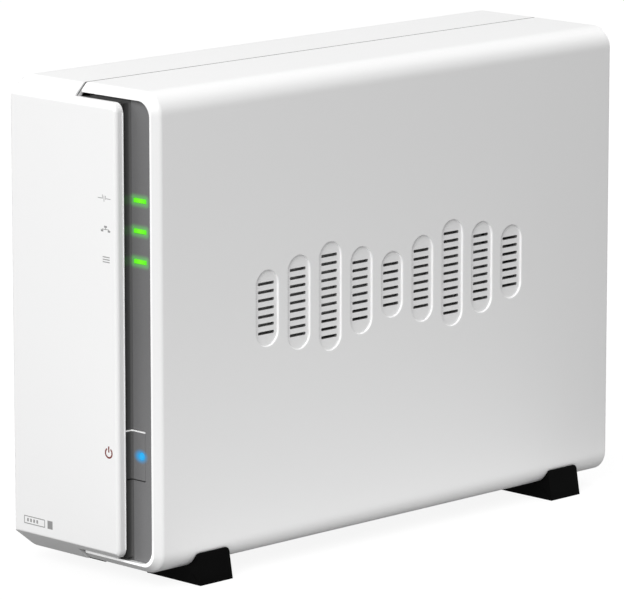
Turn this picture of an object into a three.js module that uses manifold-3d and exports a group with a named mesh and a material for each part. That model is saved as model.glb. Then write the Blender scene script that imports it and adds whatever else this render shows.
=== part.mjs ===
// Single-bay network attached storage: casing, front, rear, electronics, disk drive, fan and feet.
// Millimetres. X runs to the right seen from the front, Y runs to the back and Z runs up.
// The origin is on the table, in the middle of the footprint.

import * as THREE from 'three';
import { mergeVertices } from 'three/addons/utils/BufferGeometryUtils.js';
import Module from 'manifold-3d';

const wasm = await Module();
wasm.setup();

// Casing
const HEIGHT = 161;
const UNDERSIDE = 5.4;
const HALF_WIDTH = 33;
const FRONT = -109;
const BACK = 109;
const WALL = 2.4;
const CORNER = 7;
const SEAM_X = -1.6;
const SEAM_GAP = 0.4;
const FRONT_CHAMFER = 5.8;
const LEFT_CHAMFER = 2.8;
const REAR_BEVEL = 1;
const GAP = 0.2;

// White front face, right of the seam, where it stands inside the cover's rim
const WING_RIGHT = 19.3;
const WING_TOP = 156.9;
const WING_BOTTOM = 9.4;
const WING_CORNER = 3;
const WING_THICK = 3.3;

// Cover rim round the recess
const RIM_FRONT = -104.4;
const RIM_CHAMFER = 2.25;
const RIM_INSET = 2.95;
const RIM_CORNER = 5.2;
const RIM_DEPTH = 4.8;

// Ventilation pattern in the cover: rounded panels of several heights, each cut by level slots
const VENT_HEIGHTS = [25, 31, 36, 29, 22, 29, 36, 31, 25];
const VENT_PITCH = 14.4;
const VENT_WIDTH = 10;
const VENT_MIDDLE_Y = 2;
const VENT_MIDDLE_Z = 86;
const VENT_RECESS = 0.7;
const SLOT_PITCH = 2.7;
const SLOT_HEIGHT = 1;
const SLOT_WIDTH = 7.2;

// Tongues on the cover that tuck under the main shell at the seam
const TONGUE_PLACES = [-60, 60];
const TONGUE_HALF = 7;
const TONGUE_REACH = 3.8;
const TONGUE_ROOT = 6;
const TONGUE_THICK = 2.2;

// Strip beside the front face
const STRIP_FACE = -102.7;
const STRIP_THICK = 1.8;
const STRIP_LEFT = SEAM_X + 0.4;
const STRIP_RIGHT = HALF_WIDTH - RIM_INSET - GAP;
const STRIP_BOTTOM = UNDERSIDE + RIM_INSET + GAP;
const STRIP_TOP = HEIGHT - RIM_INSET - GAP;
const PAD_RIGHT = WING_RIGHT - 0.1;
const PAD_FILLET = 0.8;
const STRIP_TAB = { left: -14, z: [20, 146] };
const LIGHT_WIDTH = [20.8, 26.5];
const LIGHT_HEIGHT = 1.4;
const LIGHT_BACK = -97.6;
const LIGHTS = { status: 125.8, network: 116, disk: 106.2 };
const BUTTON_X = [16.3, 25.4];
const BUTTON_Z = [35.3, 51.3];
const BUTTON_GAP = 0.25;
const POWER_LIGHT = { x: 23.8, z: 43.2, radius: 1.2 };
const BUTTON_STEM = { x: 20.3, radius: 1.6, back: -99.8 };

// Board behind the strip
const LED_BOARD = { x: [13, 29.4], y: [-96, -94.4], z: [28, 132] };
const POST_PLACES = [[16.5, 60], [16.5, 128], [27.4, 60]];
const POWER_SWITCH = { half: 3, front: -98.6 };
const CABLE_RADIUS = 1.2;
const LED_CABLE = [[18, -93, 36], [12, -88, 34], [-4, -84, 32], [-18, -76, 33], [-21.5, -66, 34]];

// Main board, upright beside the left wall
const BOARD_FACE = -24.4;
const BOARD_THICK = 1.6;
const BOARD_Y = [-70, 103];
const BOARD_Z = [14, 84];
const BOSS_RADIUS = 3.2;
const SCREW_SHANK = 1.4;
const SCREW_HOLE = 1.7;
const BOARD_SCREWS = [[-64, 20], [48, 19], [-54, 48], [36, 48]];

// Parts on the main board. Height is how far each stands off the board.
const CHIPS = {
  memory_chip_1: { height: 1.1, y: [12, 25], z: [22, 30] },
  memory_chip_2: { height: 1.1, y: [12, 25], z: [33, 41] },
  flash_chip: { height: 1.4, y: [-62, -54], z: [60, 68] },
  lan_transformer: { height: 6, y: [68, 82], z: [30, 42] },
};
const PROCESSOR = { y: -16, z: 32, half: 10, height: 1.6 };
const HEATSINK = { half: 15, base: 2, height: 11, fins: 7, finHalf: 0.6 };
const CAPACITORS = { capacitor_1: [76, 21], capacitor_2: [86, 21] };
const CAPACITOR_SIZE = { radius: 4, height: 11.3 };
const COIL = { y: 60, z: 22, radius: 5, height: 5.3 };
const BATTERY = { y: -50, z: 30, radius: 8, height: 3.4 };

// Disk drive and its bracket
const DRIVE_X = [-3, 23.1];
const DRIVE_Y = [-91, 56];
const DRIVE_Z = [52, 153.6];
const DRIVE_HOLES_Y = [-61.5, 14.7];
const DRIVE_HOLES_Z = [55.2, 150.4];
const SPINDLE = { y: -39.5, z: 102.8 };
const PIVOT = { y: 20, z: 78 };
const PLATTER_RADIUS = 47.5;
const PLATTER_X = [10.4, 11.8];
const HUB_RADIUS = 12.5;
const ARM_LENGTH = 50;
const ARM_PARKED = THREE.MathUtils.degToRad(108.7);
const BRACKET_THICK = 1;
const BRACKET_Y = [-82, 52];
const BRACKET_WINDOW = { y: [-48, 4], z: [66, 140] };
const LEG_WIDTH = 12;
const LEG_FOOT_Z = 44;
const SHELF_REACH = -24;
const SHELF_DEEP = 6;

// Plug-in board that joins the drive to the main board
const RISER = { right: 8, y: [66.2, 67.8], z: [58, 106] };
const RISER_PLUG = { x: [-2.4, 4.4], z: [61, 103] };

// Rear panel and what shows through it
const PANEL_OUTSIDE = 106.9;
const PANEL_THICK = 2.2;
const PANEL_INSET = WALL + 0.3;
const TAB_X = 23.2;
const TAB_Y = [105, 106.6];
const CASE_SCREWS = { upper: 150.5, lower: 30 };
const CASE_SCREW_X = 26.6;
const TAB_HALF = 4.4;
const SOCKET_BACK = 107.2;
const LAN_Z = 34.5;
const USB_Z = { lower: 52, upper: 68.6 };
const POWER_Z = 18.5;
const RESET = { x: -20.5, z: 80.8 };
const LOCK_SLOT = { x: 16, z: 18, width: 7, height: 3.2 };

// Fan
const FAN_X = 0;
const FAN_Z = 114.6;
const FAN_SIZE = 60;
const FAN_Y = [89.3, 104.3];
const FAN_BORE = 28.4;
const FAN_HOLE = 25;
const FAN_CABLE = [[-18, 86.8, 88], [-19, 84, 82], [-21, 81, 76], [-22, 78, 71], [-22.6, 75, 66]];
const GRILLE = { radius: 27, pitch: 4.5, height: 2.6 };
const BLADES = 7;
const BLADE_RADIUS = 27.4;
const BLADE_PITCH = THREE.MathUtils.degToRad(38);

// Feet
const FOOT_OUTER_BOTTOM = 35.1;
const FOOT_TOP = 10.3;
const FOOT_INNER = 10;
const FOOT_LENGTH = 14.4;
const FOOT_Y = { front: -80.7, rear: 85.9 };
const PEG_X = 20;
const PEG_RADIUS = 2.6;

// Directions: an outline drawn flat is pushed along one of the three axes.
const PUSH = {
  x: new THREE.Matrix4().makeBasis(vector(0, 1, 0), vector(0, 0, 1), vector(1, 0, 0)),
  y: new THREE.Matrix4().makeBasis(vector(1, 0, 0), vector(0, 0, 1), vector(0, -1, 0)),
  z: new THREE.Matrix4(),
};

function vector(x, y, z) {
  return new THREE.Vector3(x, y, z);
}

function finish(color, roughness, metalness = 0) {
  return { color, roughness, metalness };
}

const WHITE = finish(0xf2f2f3, 0.28);
const DARK = finish(0x6c6c6e, 0.5);
const GREEN = finish(0x55f02a, 0.25);
const BLUE = finish(0x1e9ff0, 0.25);
const BLACK = finish(0x101011, 0.55);
const BOARD = finish(0x1d5a36, 0.45);
const CHIP = finish(0x17181a, 0.5);
const STEEL = finish(0xb9bcc0, 0.35, 1);
const ALUMINIUM = finish(0xc9ccd0, 0.4, 1);
const COPPER = finish(0xb87333, 0.35, 1);
const MIRROR = finish(0xe4e6ea, 0.08, 1);

// A closed three.js geometry as a solid that can be joined and cut.
function solid(geometry) {
  geometry.deleteAttribute('normal');
  geometry.deleteAttribute('uv');
  const merged = mergeVertices(geometry, 1e-4);
  return new wasm.Manifold(new wasm.Mesh({
    numProp: 3,
    vertProperties: new Float32Array(merged.attributes.position.array),
    triVerts: new Uint32Array(merged.index.array),
  }));
}

function piece(name, body, { color, roughness, metalness }) {
  const { vertProperties, triVerts } = body.getMesh();
  const geometry = new THREE.BufferGeometry();
  geometry.setAttribute('position', new THREE.BufferAttribute(vertProperties, 3));
  geometry.setIndex(new THREE.BufferAttribute(triVerts, 1));
  geometry.computeVertexNormals();
  const mesh = new THREE.Mesh(geometry, new THREE.MeshStandardMaterial({ color, roughness, metalness }));
  mesh.name = name;
  return mesh;
}

function group(...members) {
  const assembly = new THREE.Group();
  assembly.add(...members);
  return assembly;
}

function join(bodies) {
  return bodies.reduce((whole, body) => whole.add(body));
}

function cut(body, tools) {
  return tools.reduce((rest, tool) => rest.subtract(tool), body);
}

function polygon(points) {
  return new THREE.Shape(points.map(([u, v]) => new THREE.Vector2(u, v)));
}

function circle(u, v, radius) {
  return new THREE.Shape().absarc(u, v, radius, 0, 2 * Math.PI);
}

function roundedRectangle([u0, u1], [v0, v1], radius) {
  const quarter = Math.PI / 2;
  const outline = new THREE.Shape();
  outline.absarc(u1 - radius, v0 + radius, radius, -quarter, 0);
  outline.absarc(u1 - radius, v1 - radius, radius, 0, quarter);
  outline.absarc(u0 + radius, v1 - radius, radius, quarter, 2 * quarter);
  outline.absarc(u0 + radius, v0 + radius, radius, 2 * quarter, 3 * quarter);
  outline.closePath();
  return outline;
}

// An outline pushed along an axis between two places on it. Outlines for x are drawn in (y, z),
// those for y in (x, z) and those for z in (x, y). A quarter arc gets twice arcSteps straight sides.
function prism(axis, outline, [from, to], arcSteps = 3) {
  const depth = to - from;
  const geometry = new THREE.ExtrudeGeometry(outline, { depth, bevelEnabled: false, curveSegments: arcSteps });
  geometry.applyMatrix4(PUSH[axis]);
  geometry.translate(axis === 'x' ? from : 0, axis === 'y' ? to : 0, axis === 'z' ? from : 0);
  return solid(geometry);
}

// A prism along y whose two ends are bevelled at 45 degrees.
function bevelledPrism(outline, [from, to], bevel) {
  const geometry = new THREE.ExtrudeGeometry(outline, {
    depth: to - from - 2 * bevel,
    bevelThickness: bevel,
    bevelSize: bevel,
    bevelOffset: -bevel,
    bevelSegments: 1,
    curveSegments: 3,
  });
  geometry.applyMatrix4(PUSH.y);
  geometry.translate(0, to - bevel, 0);
  return solid(geometry);
}

function rod(axis, u, v, radius, span, sides = 16) {
  return prism(axis, circle(u, v, radius), span, sides / 2);
}

function block([x0, x1], [y0, y1], [z0, z1]) {
  const geometry = new THREE.BoxGeometry(x1 - x0, y1 - y0, z1 - z0);
  geometry.translate((x0 + x1) / 2, (y0 + y1) / 2, (z0 + z1) / 2);
  return solid(geometry);
}

function around(middle, half) {
  return [middle - half, middle + half];
}

// Outline of the casing seen from the front, drawn in from its outside by an inset.
function casingOutline(inset, radius = CORNER - inset) {
  const across = around(0, HALF_WIDTH - inset);
  return roundedRectangle(across, [UNDERSIDE + inset, HEIGHT - inset], radius);
}

// Space behind the front face, drawn in from the outside by an inset. Flat chamfers at the top, bottom
// and left join the face to the casing, and the face's square corners fan out to the casing's round ones.
function behindFrontFace(inset) {
  const depth = FRONT_CHAMFER - inset * (2 - Math.SQRT2);
  const front = FRONT + inset;
  const left = -HALF_WIDTH + inset;
  const beyond = 2 * HALF_WIDTH;
  const upright = [UNDERSIDE + inset, HEIGHT - inset];
  const faceLeft = left + (LEFT_CHAMFER * depth) / FRONT_CHAMFER;
  const face = block([faceLeft, beyond], [front, front + depth], [upright[0] + depth, upright[1] - depth]);
  const body = prism('y', roundedRectangle([left, beyond], upright, CORNER - inset), [front + depth, BACK + 1]);
  return wasm.Manifold.hull([face, body]);
}

function frontWing() {
  const across = [SEAM_X - 3, WING_RIGHT];
  const outline = roundedRectangle(across, [WING_BOTTOM, WING_TOP], WING_CORNER);
  return prism('y', outline, [FRONT, FRONT + WING_THICK]).intersect(behindFrontFace(0));
}

function pegHoles(side) {
  return Object.values(FOOT_Y).map((y) => rod('z', side * PEG_X, y, PEG_RADIUS + 0.3, [0, UNDERSIDE + 5], 12));
}

function mainShell() {
  const outer = bevelledPrism(casingOutline(0), [2 * FRONT, BACK], REAR_BEVEL)
    .intersect(behindFrontFace(0))
    .intersect(block([-HALF_WIDTH - 1, SEAM_X - SEAM_GAP / 2], [FRONT - 1, BACK + 1], [0, HEIGHT + 1]));
  const cavity = prism('y', casingOutline(WALL), [FRONT, BACK + 1]).intersect(behindFrontFace(WALL));
  const wallX = -HALF_WIDTH + WALL;
  const bossTop = BOARD_FACE - BOARD_THICK - GAP;
  const bosses = BOARD_SCREWS.map(([y, z]) => rod('x', y, z, BOSS_RADIUS, [wallX - 1, bossTop], 12));
  const pilots = BOARD_SCREWS.map(([y, z]) => rod('x', y, z, SCREW_HOLE, [wallX + 0.2, bossTop + 1], 10));
  const shelfZ = [DRIVE_Z[1] - SHELF_DEEP, DRIVE_Z[1]];
  const shelves = BOARD_SCREWS.slice(2).map(([y]) => (
    block([wallX - 1, SHELF_REACH], around(y, LEG_WIDTH / 2), shelfZ)
  ));
  return cut(join([outer.subtract(cavity), frontWing(), ...bosses, ...shelves]), [...pilots, ...pegHoles(-1)]);
}

// Level slots through one rounded panel of the ventilation pattern.
function ventSlots(y, height) {
  const count = Math.floor((height - VENT_WIDTH / 2) / SLOT_PITCH);
  const lowest = VENT_MIDDLE_Z - ((count - 1) * SLOT_PITCH) / 2;
  return Array.from({ length: count }, (_, i) => block(
    [HALF_WIDTH - WALL - 1, HALF_WIDTH + 1],
    around(y, SLOT_WIDTH / 2),
    around(lowest + i * SLOT_PITCH, SLOT_HEIGHT / 2),
  ));
}

function ventCuts() {
  const firstY = VENT_MIDDLE_Y - ((VENT_HEIGHTS.length - 1) * VENT_PITCH) / 2;
  return VENT_HEIGHTS.flatMap((height, i) => {
    const y = firstY + i * VENT_PITCH;
    const radius = VENT_WIDTH / 2 - 0.1;
    const panel = roundedRectangle(around(y, VENT_WIDTH / 2), around(VENT_MIDDLE_Z, height / 2), radius);
    return [prism('x', panel, [HALF_WIDTH - VENT_RECESS, HALF_WIDTH + 1], 2), ...ventSlots(y, height)];
  });
}

// Each tongue has a root joined to the cover's wall and a part that reaches past the seam, clear of the wall.
function seamTongues() {
  const root = [SEAM_X + SEAM_GAP, SEAM_X + TONGUE_ROOT];
  const reach = [SEAM_X - TONGUE_REACH, root[0] + 0.5];
  const ceiling = HEIGHT - WALL;
  const floor = UNDERSIDE + WALL;
  return TONGUE_PLACES.flatMap((y) => [
    block(root, around(y, TONGUE_HALF), [ceiling - TONGUE_THICK, ceiling + 0.5]),
    block(reach, around(y, TONGUE_HALF), [ceiling - TONGUE_THICK, ceiling - GAP]),
    block(root, around(y, TONGUE_HALF), [floor - 0.5, floor + TONGUE_THICK]),
    block(reach, around(y, TONGUE_HALF), [floor + GAP, floor + TONGUE_THICK]),
  ]);
}

// Screw tabs at the back of the cover. Each slot is open to the left, so that the cover comes off sideways.
function screwTabs() {
  return Object.values(CASE_SCREWS).map((z) => {
    const tab = block([TAB_X, HALF_WIDTH - WALL + 1], TAB_Y, around(z, TAB_HALF));
    const slot = block([TAB_X - 1, CASE_SCREW_X], [TAB_Y[0] - 1, TAB_Y[1] + 1], around(z, SCREW_HOLE));
    return tab.subtract(slot).subtract(rod('y', CASE_SCREW_X, z, SCREW_HOLE, [TAB_Y[0] - 1, TAB_Y[1] + 1], 12));
  });
}

function coverShell() {
  const outer = bevelledPrism(casingOutline(0), [RIM_FRONT, 2 * BACK], RIM_CHAMFER)
    .intersect(bevelledPrism(casingOutline(0), [2 * FRONT, BACK], REAR_BEVEL))
    .intersect(block([SEAM_X + SEAM_GAP / 2, HALF_WIDTH + 1], [FRONT - 1, BACK + 1], [0, HEIGHT + 1]));
  const mouth = prism('y', casingOutline(RIM_INSET, RIM_CORNER), [FRONT - 1, RIM_FRONT + RIM_DEPTH + 1]);
  const cavity = prism('y', casingOutline(WALL), [RIM_FRONT + RIM_DEPTH, BACK + 1]);
  const hollow = cut(outer, [mouth, cavity, ...ventCuts(), ...pegHoles(1)]);
  return join([hollow, ...seamTongues(), ...screwTabs()]);
}

function casing() {
  return group(piece('main_shell', mainShell(), WHITE), piece('cover_shell', coverShell(), WHITE));
}

// Raised pad behind the front face, with a hollow fillet where it meets the strip's face.
function pad() {
  const front = FRONT + WING_THICK + GAP;
  const outline = new THREE.Shape();
  outline.moveTo(STRIP_LEFT, STRIP_FACE + 1);
  outline.lineTo(STRIP_LEFT, front);
  outline.lineTo(PAD_RIGHT, front);
  outline.absarc(PAD_RIGHT + PAD_FILLET, STRIP_FACE - PAD_FILLET, PAD_FILLET, Math.PI, Math.PI / 2, true);
  outline.lineTo(PAD_RIGHT + PAD_FILLET, STRIP_FACE + 1);
  outline.closePath();
  const frame = roundedRectangle([STRIP_LEFT - 4, STRIP_RIGHT], [WING_BOTTOM + GAP, WING_TOP - GAP], WING_CORNER);
  return prism('z', outline, [0, HEIGHT], 2).intersect(prism('y', frame, [FRONT, STRIP_FACE + 2]));
}

function stripPlate() {
  const outline = roundedRectangle([STRIP_LEFT, STRIP_RIGHT], [STRIP_BOTTOM, STRIP_TOP], RIM_CORNER - GAP);
  return prism('y', outline, [STRIP_FACE, STRIP_FACE + STRIP_THICK]).add(pad());
}

function frontStrip() {
  const backFace = STRIP_FACE + STRIP_THICK;
  const tab = block([STRIP_TAB.left, STRIP_LEFT + 1], [STRIP_FACE, backFace], STRIP_TAB.z);
  const posts = POST_PLACES.map(([x, z]) => rod('y', x, z, 1.5, [backFace - 0.5, LED_BOARD.y[0] - 0.1], 8));
  const through = [FRONT, backFace + 1];
  const windows = Object.values(LIGHTS).map((z) => block(
    [LIGHT_WIDTH[0] - 0.1, LIGHT_WIDTH[1] + 0.1], through, around(z, LIGHT_HEIGHT / 2 + 0.1),
  ));
  const buttonHole = block(
    [BUTTON_X[0] - BUTTON_GAP, BUTTON_X[1] + BUTTON_GAP], through,
    [BUTTON_Z[0] - BUTTON_GAP, BUTTON_Z[1] + BUTTON_GAP],
  );
  return cut(join([stripPlate(), tab, ...posts]), [...windows, buttonHole]);
}

function powerButton() {
  const { x, z, radius } = POWER_LIGHT;
  const cap = stripPlate().intersect(block(BUTTON_X, [FRONT, STRIP_FACE + STRIP_THICK], BUTTON_Z));
  const stem = rod('y', BUTTON_STEM.x, z, BUTTON_STEM.radius, [STRIP_FACE + 1, BUTTON_STEM.back], 10);
  return cap.add(stem).subtract(rod('y', x, z, radius + 0.2, [FRONT, STRIP_FACE + STRIP_THICK + 1]));
}

function lightPipe(name) {
  const z = LIGHTS[name];
  const window = block(LIGHT_WIDTH, [STRIP_FACE - 0.1, LIGHT_BACK], around(z, LIGHT_HEIGHT / 2));
  return piece(`light_pipe_${name}`, window, GREEN);
}

function powerLens() {
  const { x, z, radius } = POWER_LIGHT;
  return rod('y', x, z, radius, [STRIP_FACE - 0.1, -99.6]);
}

// A cable of round section along a smooth path.
function cable(points) {
  const path = new THREE.CatmullRomCurve3(points.map(([x, y, z]) => vector(x, y, z)));
  const section = circle(0, 0, CABLE_RADIUS);
  return solid(new THREE.ExtrudeGeometry(section, { steps: 14, extrudePath: path, curveSegments: 4 }));
}

function frontAssembly() {
  const { x, y, z } = LED_BOARD;
  const { half, front } = POWER_SWITCH;
  const switchBody = block(around(BUTTON_STEM.x, half), [front, y[0] - 0.1], around(POWER_LIGHT.z, half));
  return group(
    piece('front_strip', frontStrip(), DARK),
    piece('power_button', powerButton(), DARK),
    piece('power_lens', powerLens(), BLUE),
    ...Object.keys(LIGHTS).map(lightPipe),
    piece('led_board', block(x, y, z), BOARD),
    piece('power_switch', switchBody, CHIP),
    piece('led_cable', cable(LED_CABLE), BLACK),
  );
}

// A screw with a domed head whose seat is at the origin and whose shank runs towards -Y.
function screw(name, length, headRadius, place, turn = [0, 0, 0]) {
  const profile = [
    [0, -length], [SCREW_SHANK, -length], [SCREW_SHANK, 0], [headRadius, 0], [headRadius * 0.85, 1.3], [0, 1.8],
  ].map(([r, y]) => new THREE.Vector2(r, y));
  const body = piece(name, solid(new THREE.LatheGeometry(profile, 10)), STEEL);
  body.position.set(...place);
  body.rotation.set(...turn);
  return body;
}

// A thing that stands on the main board: height runs towards +X from the board's face.
function onBoard(height, ySpan, zSpan) {
  return block([BOARD_FACE + GAP, BOARD_FACE + GAP + height], ySpan, zSpan);
}

function heatsink() {
  const { half, base, height, fins, finHalf } = HEATSINK;
  const { y, z } = PROCESSOR;
  const foot = BOARD_FACE + PROCESSOR.height + 2 * GAP;
  const pitch = (2 * (half - 2 * finHalf)) / (fins - 1);
  const firstZ = z - half + 2 * finHalf;
  const plate = block([foot, foot + base], around(y, half), around(z, half));
  const blades = Array.from({ length: fins }, (_, i) => (
    block([foot + base / 2, foot + height], around(y, half), around(firstZ + i * pitch, finHalf))
  ));
  return join([plate, ...blades]);
}

function mainBoard() {
  const plate = block([BOARD_FACE - BOARD_THICK, BOARD_FACE], BOARD_Y, BOARD_Z);
  const span = [BOARD_FACE - BOARD_THICK - 1, BOARD_FACE + 1];
  return cut(plate, BOARD_SCREWS.map(([y, z]) => rod('x', y, z, SCREW_HOLE, span, 10)));
}

function boardScrews() {
  return BOARD_SCREWS.map(([y, z], i) => {
    const clampsBracket = i >= 2;
    const seat = BOARD_FACE + (clampsBracket ? BRACKET_THICK + 2 * GAP : GAP);
    const length = seat + HALF_WIDTH - WALL - 0.6;
    return screw(`board_screw_${i + 1}`, length, 2.9, [seat, y, z], [0, 0, -Math.PI / 2]);
  });
}

// A round part that stands on the main board.
function canOnBoard({ y, z, radius, height }, sides) {
  const foot = BOARD_FACE + GAP;
  return rod('x', y, z, radius, [foot, foot + height], sides);
}

function mainBoardAssembly() {
  const [processorY, processorZ] = [PROCESSOR.y, PROCESSOR.z].map((middle) => around(middle, PROCESSOR.half));
  const chips = Object.entries(CHIPS).map(([name, { height, y, z }]) => piece(name, onBoard(height, y, z), CHIP));
  const capacitors = Object.entries(CAPACITORS).map(([name, [y, z]]) => (
    piece(name, canOnBoard({ y, z, ...CAPACITOR_SIZE }, 16), CHIP)
  ));
  return group(
    piece('main_board', mainBoard(), BOARD),
    piece('processor', onBoard(PROCESSOR.height, processorY, processorZ), CHIP),
    piece('heatsink', heatsink(), ALUMINIUM),
    ...chips,
    ...capacitors,
    piece('power_coil', canOnBoard(COIL, 8), COPPER),
    piece('clock_battery', canOnBoard(BATTERY, 20), STEEL),
    ...boardScrews(),
  );
}

// A socket: an outer body with a hollow that opens to the back.
function socket(height, width, length, z, lip, depth) {
  const outer = onBoard(height, [SOCKET_BACK - length, SOCKET_BACK], around(z, width / 2));
  const inner = block(
    [BOARD_FACE + GAP + lip, BOARD_FACE + GAP + height - lip],
    [SOCKET_BACK - depth, SOCKET_BACK + 1], around(z, width / 2 - lip),
  );
  return outer.subtract(inner);
}

function usbSocket(z) {
  const x = BOARD_FACE + GAP + 3.5;
  const tongue = block(around(x + 0.9, 0.9), [SOCKET_BACK - 11, SOCKET_BACK - 1], around(z, 5.2));
  return socket(7, 14.4, 15, z, 0.6, 10).add(tongue);
}

function powerSocket() {
  const x = BOARD_FACE + GAP + 5.5;
  const outer = onBoard(11, [SOCKET_BACK - 14, SOCKET_BACK], around(POWER_Z, 4.7));
  const bore = rod('y', x, POWER_Z, 3.2, [SOCKET_BACK - 10, SOCKET_BACK + 1]);
  const pin = rod('y', x, POWER_Z, 1, [SOCKET_BACK - 11, SOCKET_BACK - 0.8], 10);
  return outer.subtract(bore).add(pin);
}

function resetButton() {
  const face = PANEL_OUTSIDE - 1;
  const plunger = rod('y', RESET.x, RESET.z, 1.1, [face - 4, face], 12);
  const collar = rod('y', RESET.x, RESET.z, 2, [face - 4.6, face - 3], 12);
  return plunger.add(collar);
}

function sockets() {
  const resetSwitch = onBoard(6.8, [95, 100.4], around(RESET.z, 3));
  return group(
    piece('lan_socket', socket(13.5, 16, 21, LAN_Z, 1.6, 13), STEEL),
    ...Object.entries(USB_Z).map(([name, z]) => piece(`usb_socket_${name}`, usbSocket(z), STEEL)),
    piece('power_socket', powerSocket(), CHIP),
    piece('reset_button', resetButton(), BLACK),
    piece('reset_switch', resetSwitch, CHIP),
  );
}

// Level slots of the fan grille, as long as a circle allows.
function grilleSlots() {
  const { radius, pitch, height } = GRILLE;
  const rows = Math.floor(radius / pitch);
  return Array.from({ length: 2 * rows + 1 }, (_, i) => {
    const offset = (i - rows) * pitch;
    const half = Math.sqrt(radius * radius - offset * offset) - 1;
    const span = [PANEL_OUTSIDE - PANEL_THICK - 1, PANEL_OUTSIDE + 1];
    return block(around(FAN_X, Math.max(half, 3)), span, around(FAN_Z + offset, height / 2));
  });
}

// Sunken seat in the rear panel for a screw tab of the cover, with the boss that takes the screw.
function tabSeat(z) {
  const inner = PANEL_OUTSIDE - PANEL_THICK;
  const depth = [inner - 2.2, inner];
  const along = around(z, TAB_HALF + 1.2);
  const floor = block([TAB_X - 2.6, HALF_WIDTH], depth, along)
    .intersect(prism('y', casingOutline(PANEL_INSET), depth));
  return [floor, rod('y', CASE_SCREW_X, z, 3, [96.5, inner - 1], 12)];
}

function rearPanel() {
  const inner = PANEL_OUTSIDE - PANEL_THICK;
  const across = [inner - 1, PANEL_OUTSIDE + 1];
  const plate = prism('y', casingOutline(PANEL_INSET), [inner, PANEL_OUTSIDE]);
  const screwZ = Object.values(CASE_SCREWS);
  const seatCuts = screwZ.map((z) => block([TAB_X - 0.4, HALF_WIDTH], across, around(z, TAB_HALF + 0.3)));
  const bores = screwZ.map((z) => rod('y', CASE_SCREW_X, z, SCREW_HOLE, [97, PANEL_OUTSIDE + 1], 12));
  const socketX = (height) => [BOARD_FACE + GAP - 0.4, BOARD_FACE + GAP + height + 0.4];
  const fanHoles = fanScrewPlaces().map(([x, z]) => rod('y', x, z, SCREW_HOLE, across, 10));
  return cut(join([cut(plate, seatCuts), ...screwZ.flatMap(tabSeat)]), [
    ...bores,
    ...grilleSlots(),
    ...fanHoles,
    block(socketX(13.5), across, around(LAN_Z, 8.4)),
    ...Object.values(USB_Z).map((z) => block(socketX(7), across, around(z, 7.6))),
    block(socketX(11), across, around(POWER_Z, 5.1)),
    rod('y', RESET.x, RESET.z, 1.5, across, 12),
    block(around(LOCK_SLOT.x, LOCK_SLOT.width / 2), across, around(LOCK_SLOT.z, LOCK_SLOT.height / 2)),
  ]);
}

function rearAssembly() {
  const screws = Object.entries(CASE_SCREWS).map(([name, z]) => (
    screw(`case_screw_${name}`, 8.4, 3.1, [CASE_SCREW_X, TAB_Y[1] + GAP, z])
  ));
  return group(piece('rear_panel', rearPanel(), WHITE), ...screws);
}

function sataRiser() {
  const { right, y, z } = RISER;
  const plug = block(RISER_PLUG.x, [DRIVE_Y[1] + 2 * GAP, y[0] - GAP / 2], RISER_PLUG.z);
  return group(
    piece('sata_riser', block([BOARD_FACE + GAP, right], y, z), BOARD),
    piece('sata_connector', plug, CHIP),
  );
}

// Sheet steel bracket: a plate under the drive and two pairs of legs, bent towards the main shell.
function driveBracket() {
  const plateX = [DRIVE_X[0] - GAP - BRACKET_THICK, DRIVE_X[0] - GAP];
  const top = DRIVE_Z[1] + GAP;
  const plate = block(plateX, BRACKET_Y, [DRIVE_Z[0] - BRACKET_THICK, top + BRACKET_THICK]);
  const window = block([plateX[0] - 1, plateX[1] + 1], BRACKET_WINDOW.y, BRACKET_WINDOW.z);
  const footX = [BOARD_FACE + GAP, BOARD_FACE + GAP + BRACKET_THICK];
  const legs = BOARD_SCREWS.slice(2).flatMap(([y]) => {
    const along = around(y, LEG_WIDTH / 2 - 0.5);
    return [
      block([footX[0], plateX[1]], along, [DRIVE_Z[0] - BRACKET_THICK, DRIVE_Z[0]]),
      block(footX, along, [LEG_FOOT_Z, DRIVE_Z[0]]),
      block([SHELF_REACH - 4, plateX[1]], along, [top, top + BRACKET_THICK]),
    ];
  });
  const holes = driveScrewPlaces().map(([y, z]) => rod('x', y, z, SCREW_HOLE, [plateX[0] - 1, plateX[1] + 1], 10));
  const feetHoles = BOARD_SCREWS.slice(2).map(([y, z]) => (
    rod('x', y, z, SCREW_HOLE, [footX[0] - 1, footX[1] + 1], 10)
  ));
  return cut(join([plate, ...legs]), [window, ...holes, ...feetHoles]);
}

function driveScrewPlaces() {
  return DRIVE_HOLES_Y.flatMap((y) => DRIVE_HOLES_Z.map((z) => [y, z]));
}

// Cast tub of the drive. Its lid side is +X and its circuit board side is -X.
function driveBase() {
  const rim = DRIVE_X[1] - 1;
  const body = prism('x', roundedRectangle(DRIVE_Y, DRIVE_Z, 3), [DRIVE_X[0], rim], 1);
  const underside = block([DRIVE_X[0] - 1, -1.2], [-44, DRIVE_Y[1] + 1], [61, 145]);
  const diskWell = rod('x', SPINDLE.y, SPINDLE.z, PLATTER_RADIUS + 0.9, [5, rim + 1], 40);
  const armWell = block([5, rim + 1], [-4, 50], [57, 149]);
  const holes = driveScrewPlaces().map(([y, z]) => rod('x', y, z, SCREW_HOLE, [DRIVE_X[0] - 1, 3.5], 10));
  return cut(body, [underside, diskWell, armWell, ...holes]);
}

function spindleHub() {
  const profile = [[0, 6], [HUB_RADIUS - 0.2, 6], [HUB_RADIUS - 0.2, 12.8], [9, 12.8], [9, 16.5], [0, 16.5]];
  const turned = profile.map(([r, x]) => new THREE.Vector2(r, x));
  return solid(new THREE.LatheGeometry(turned, 24));
}

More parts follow.
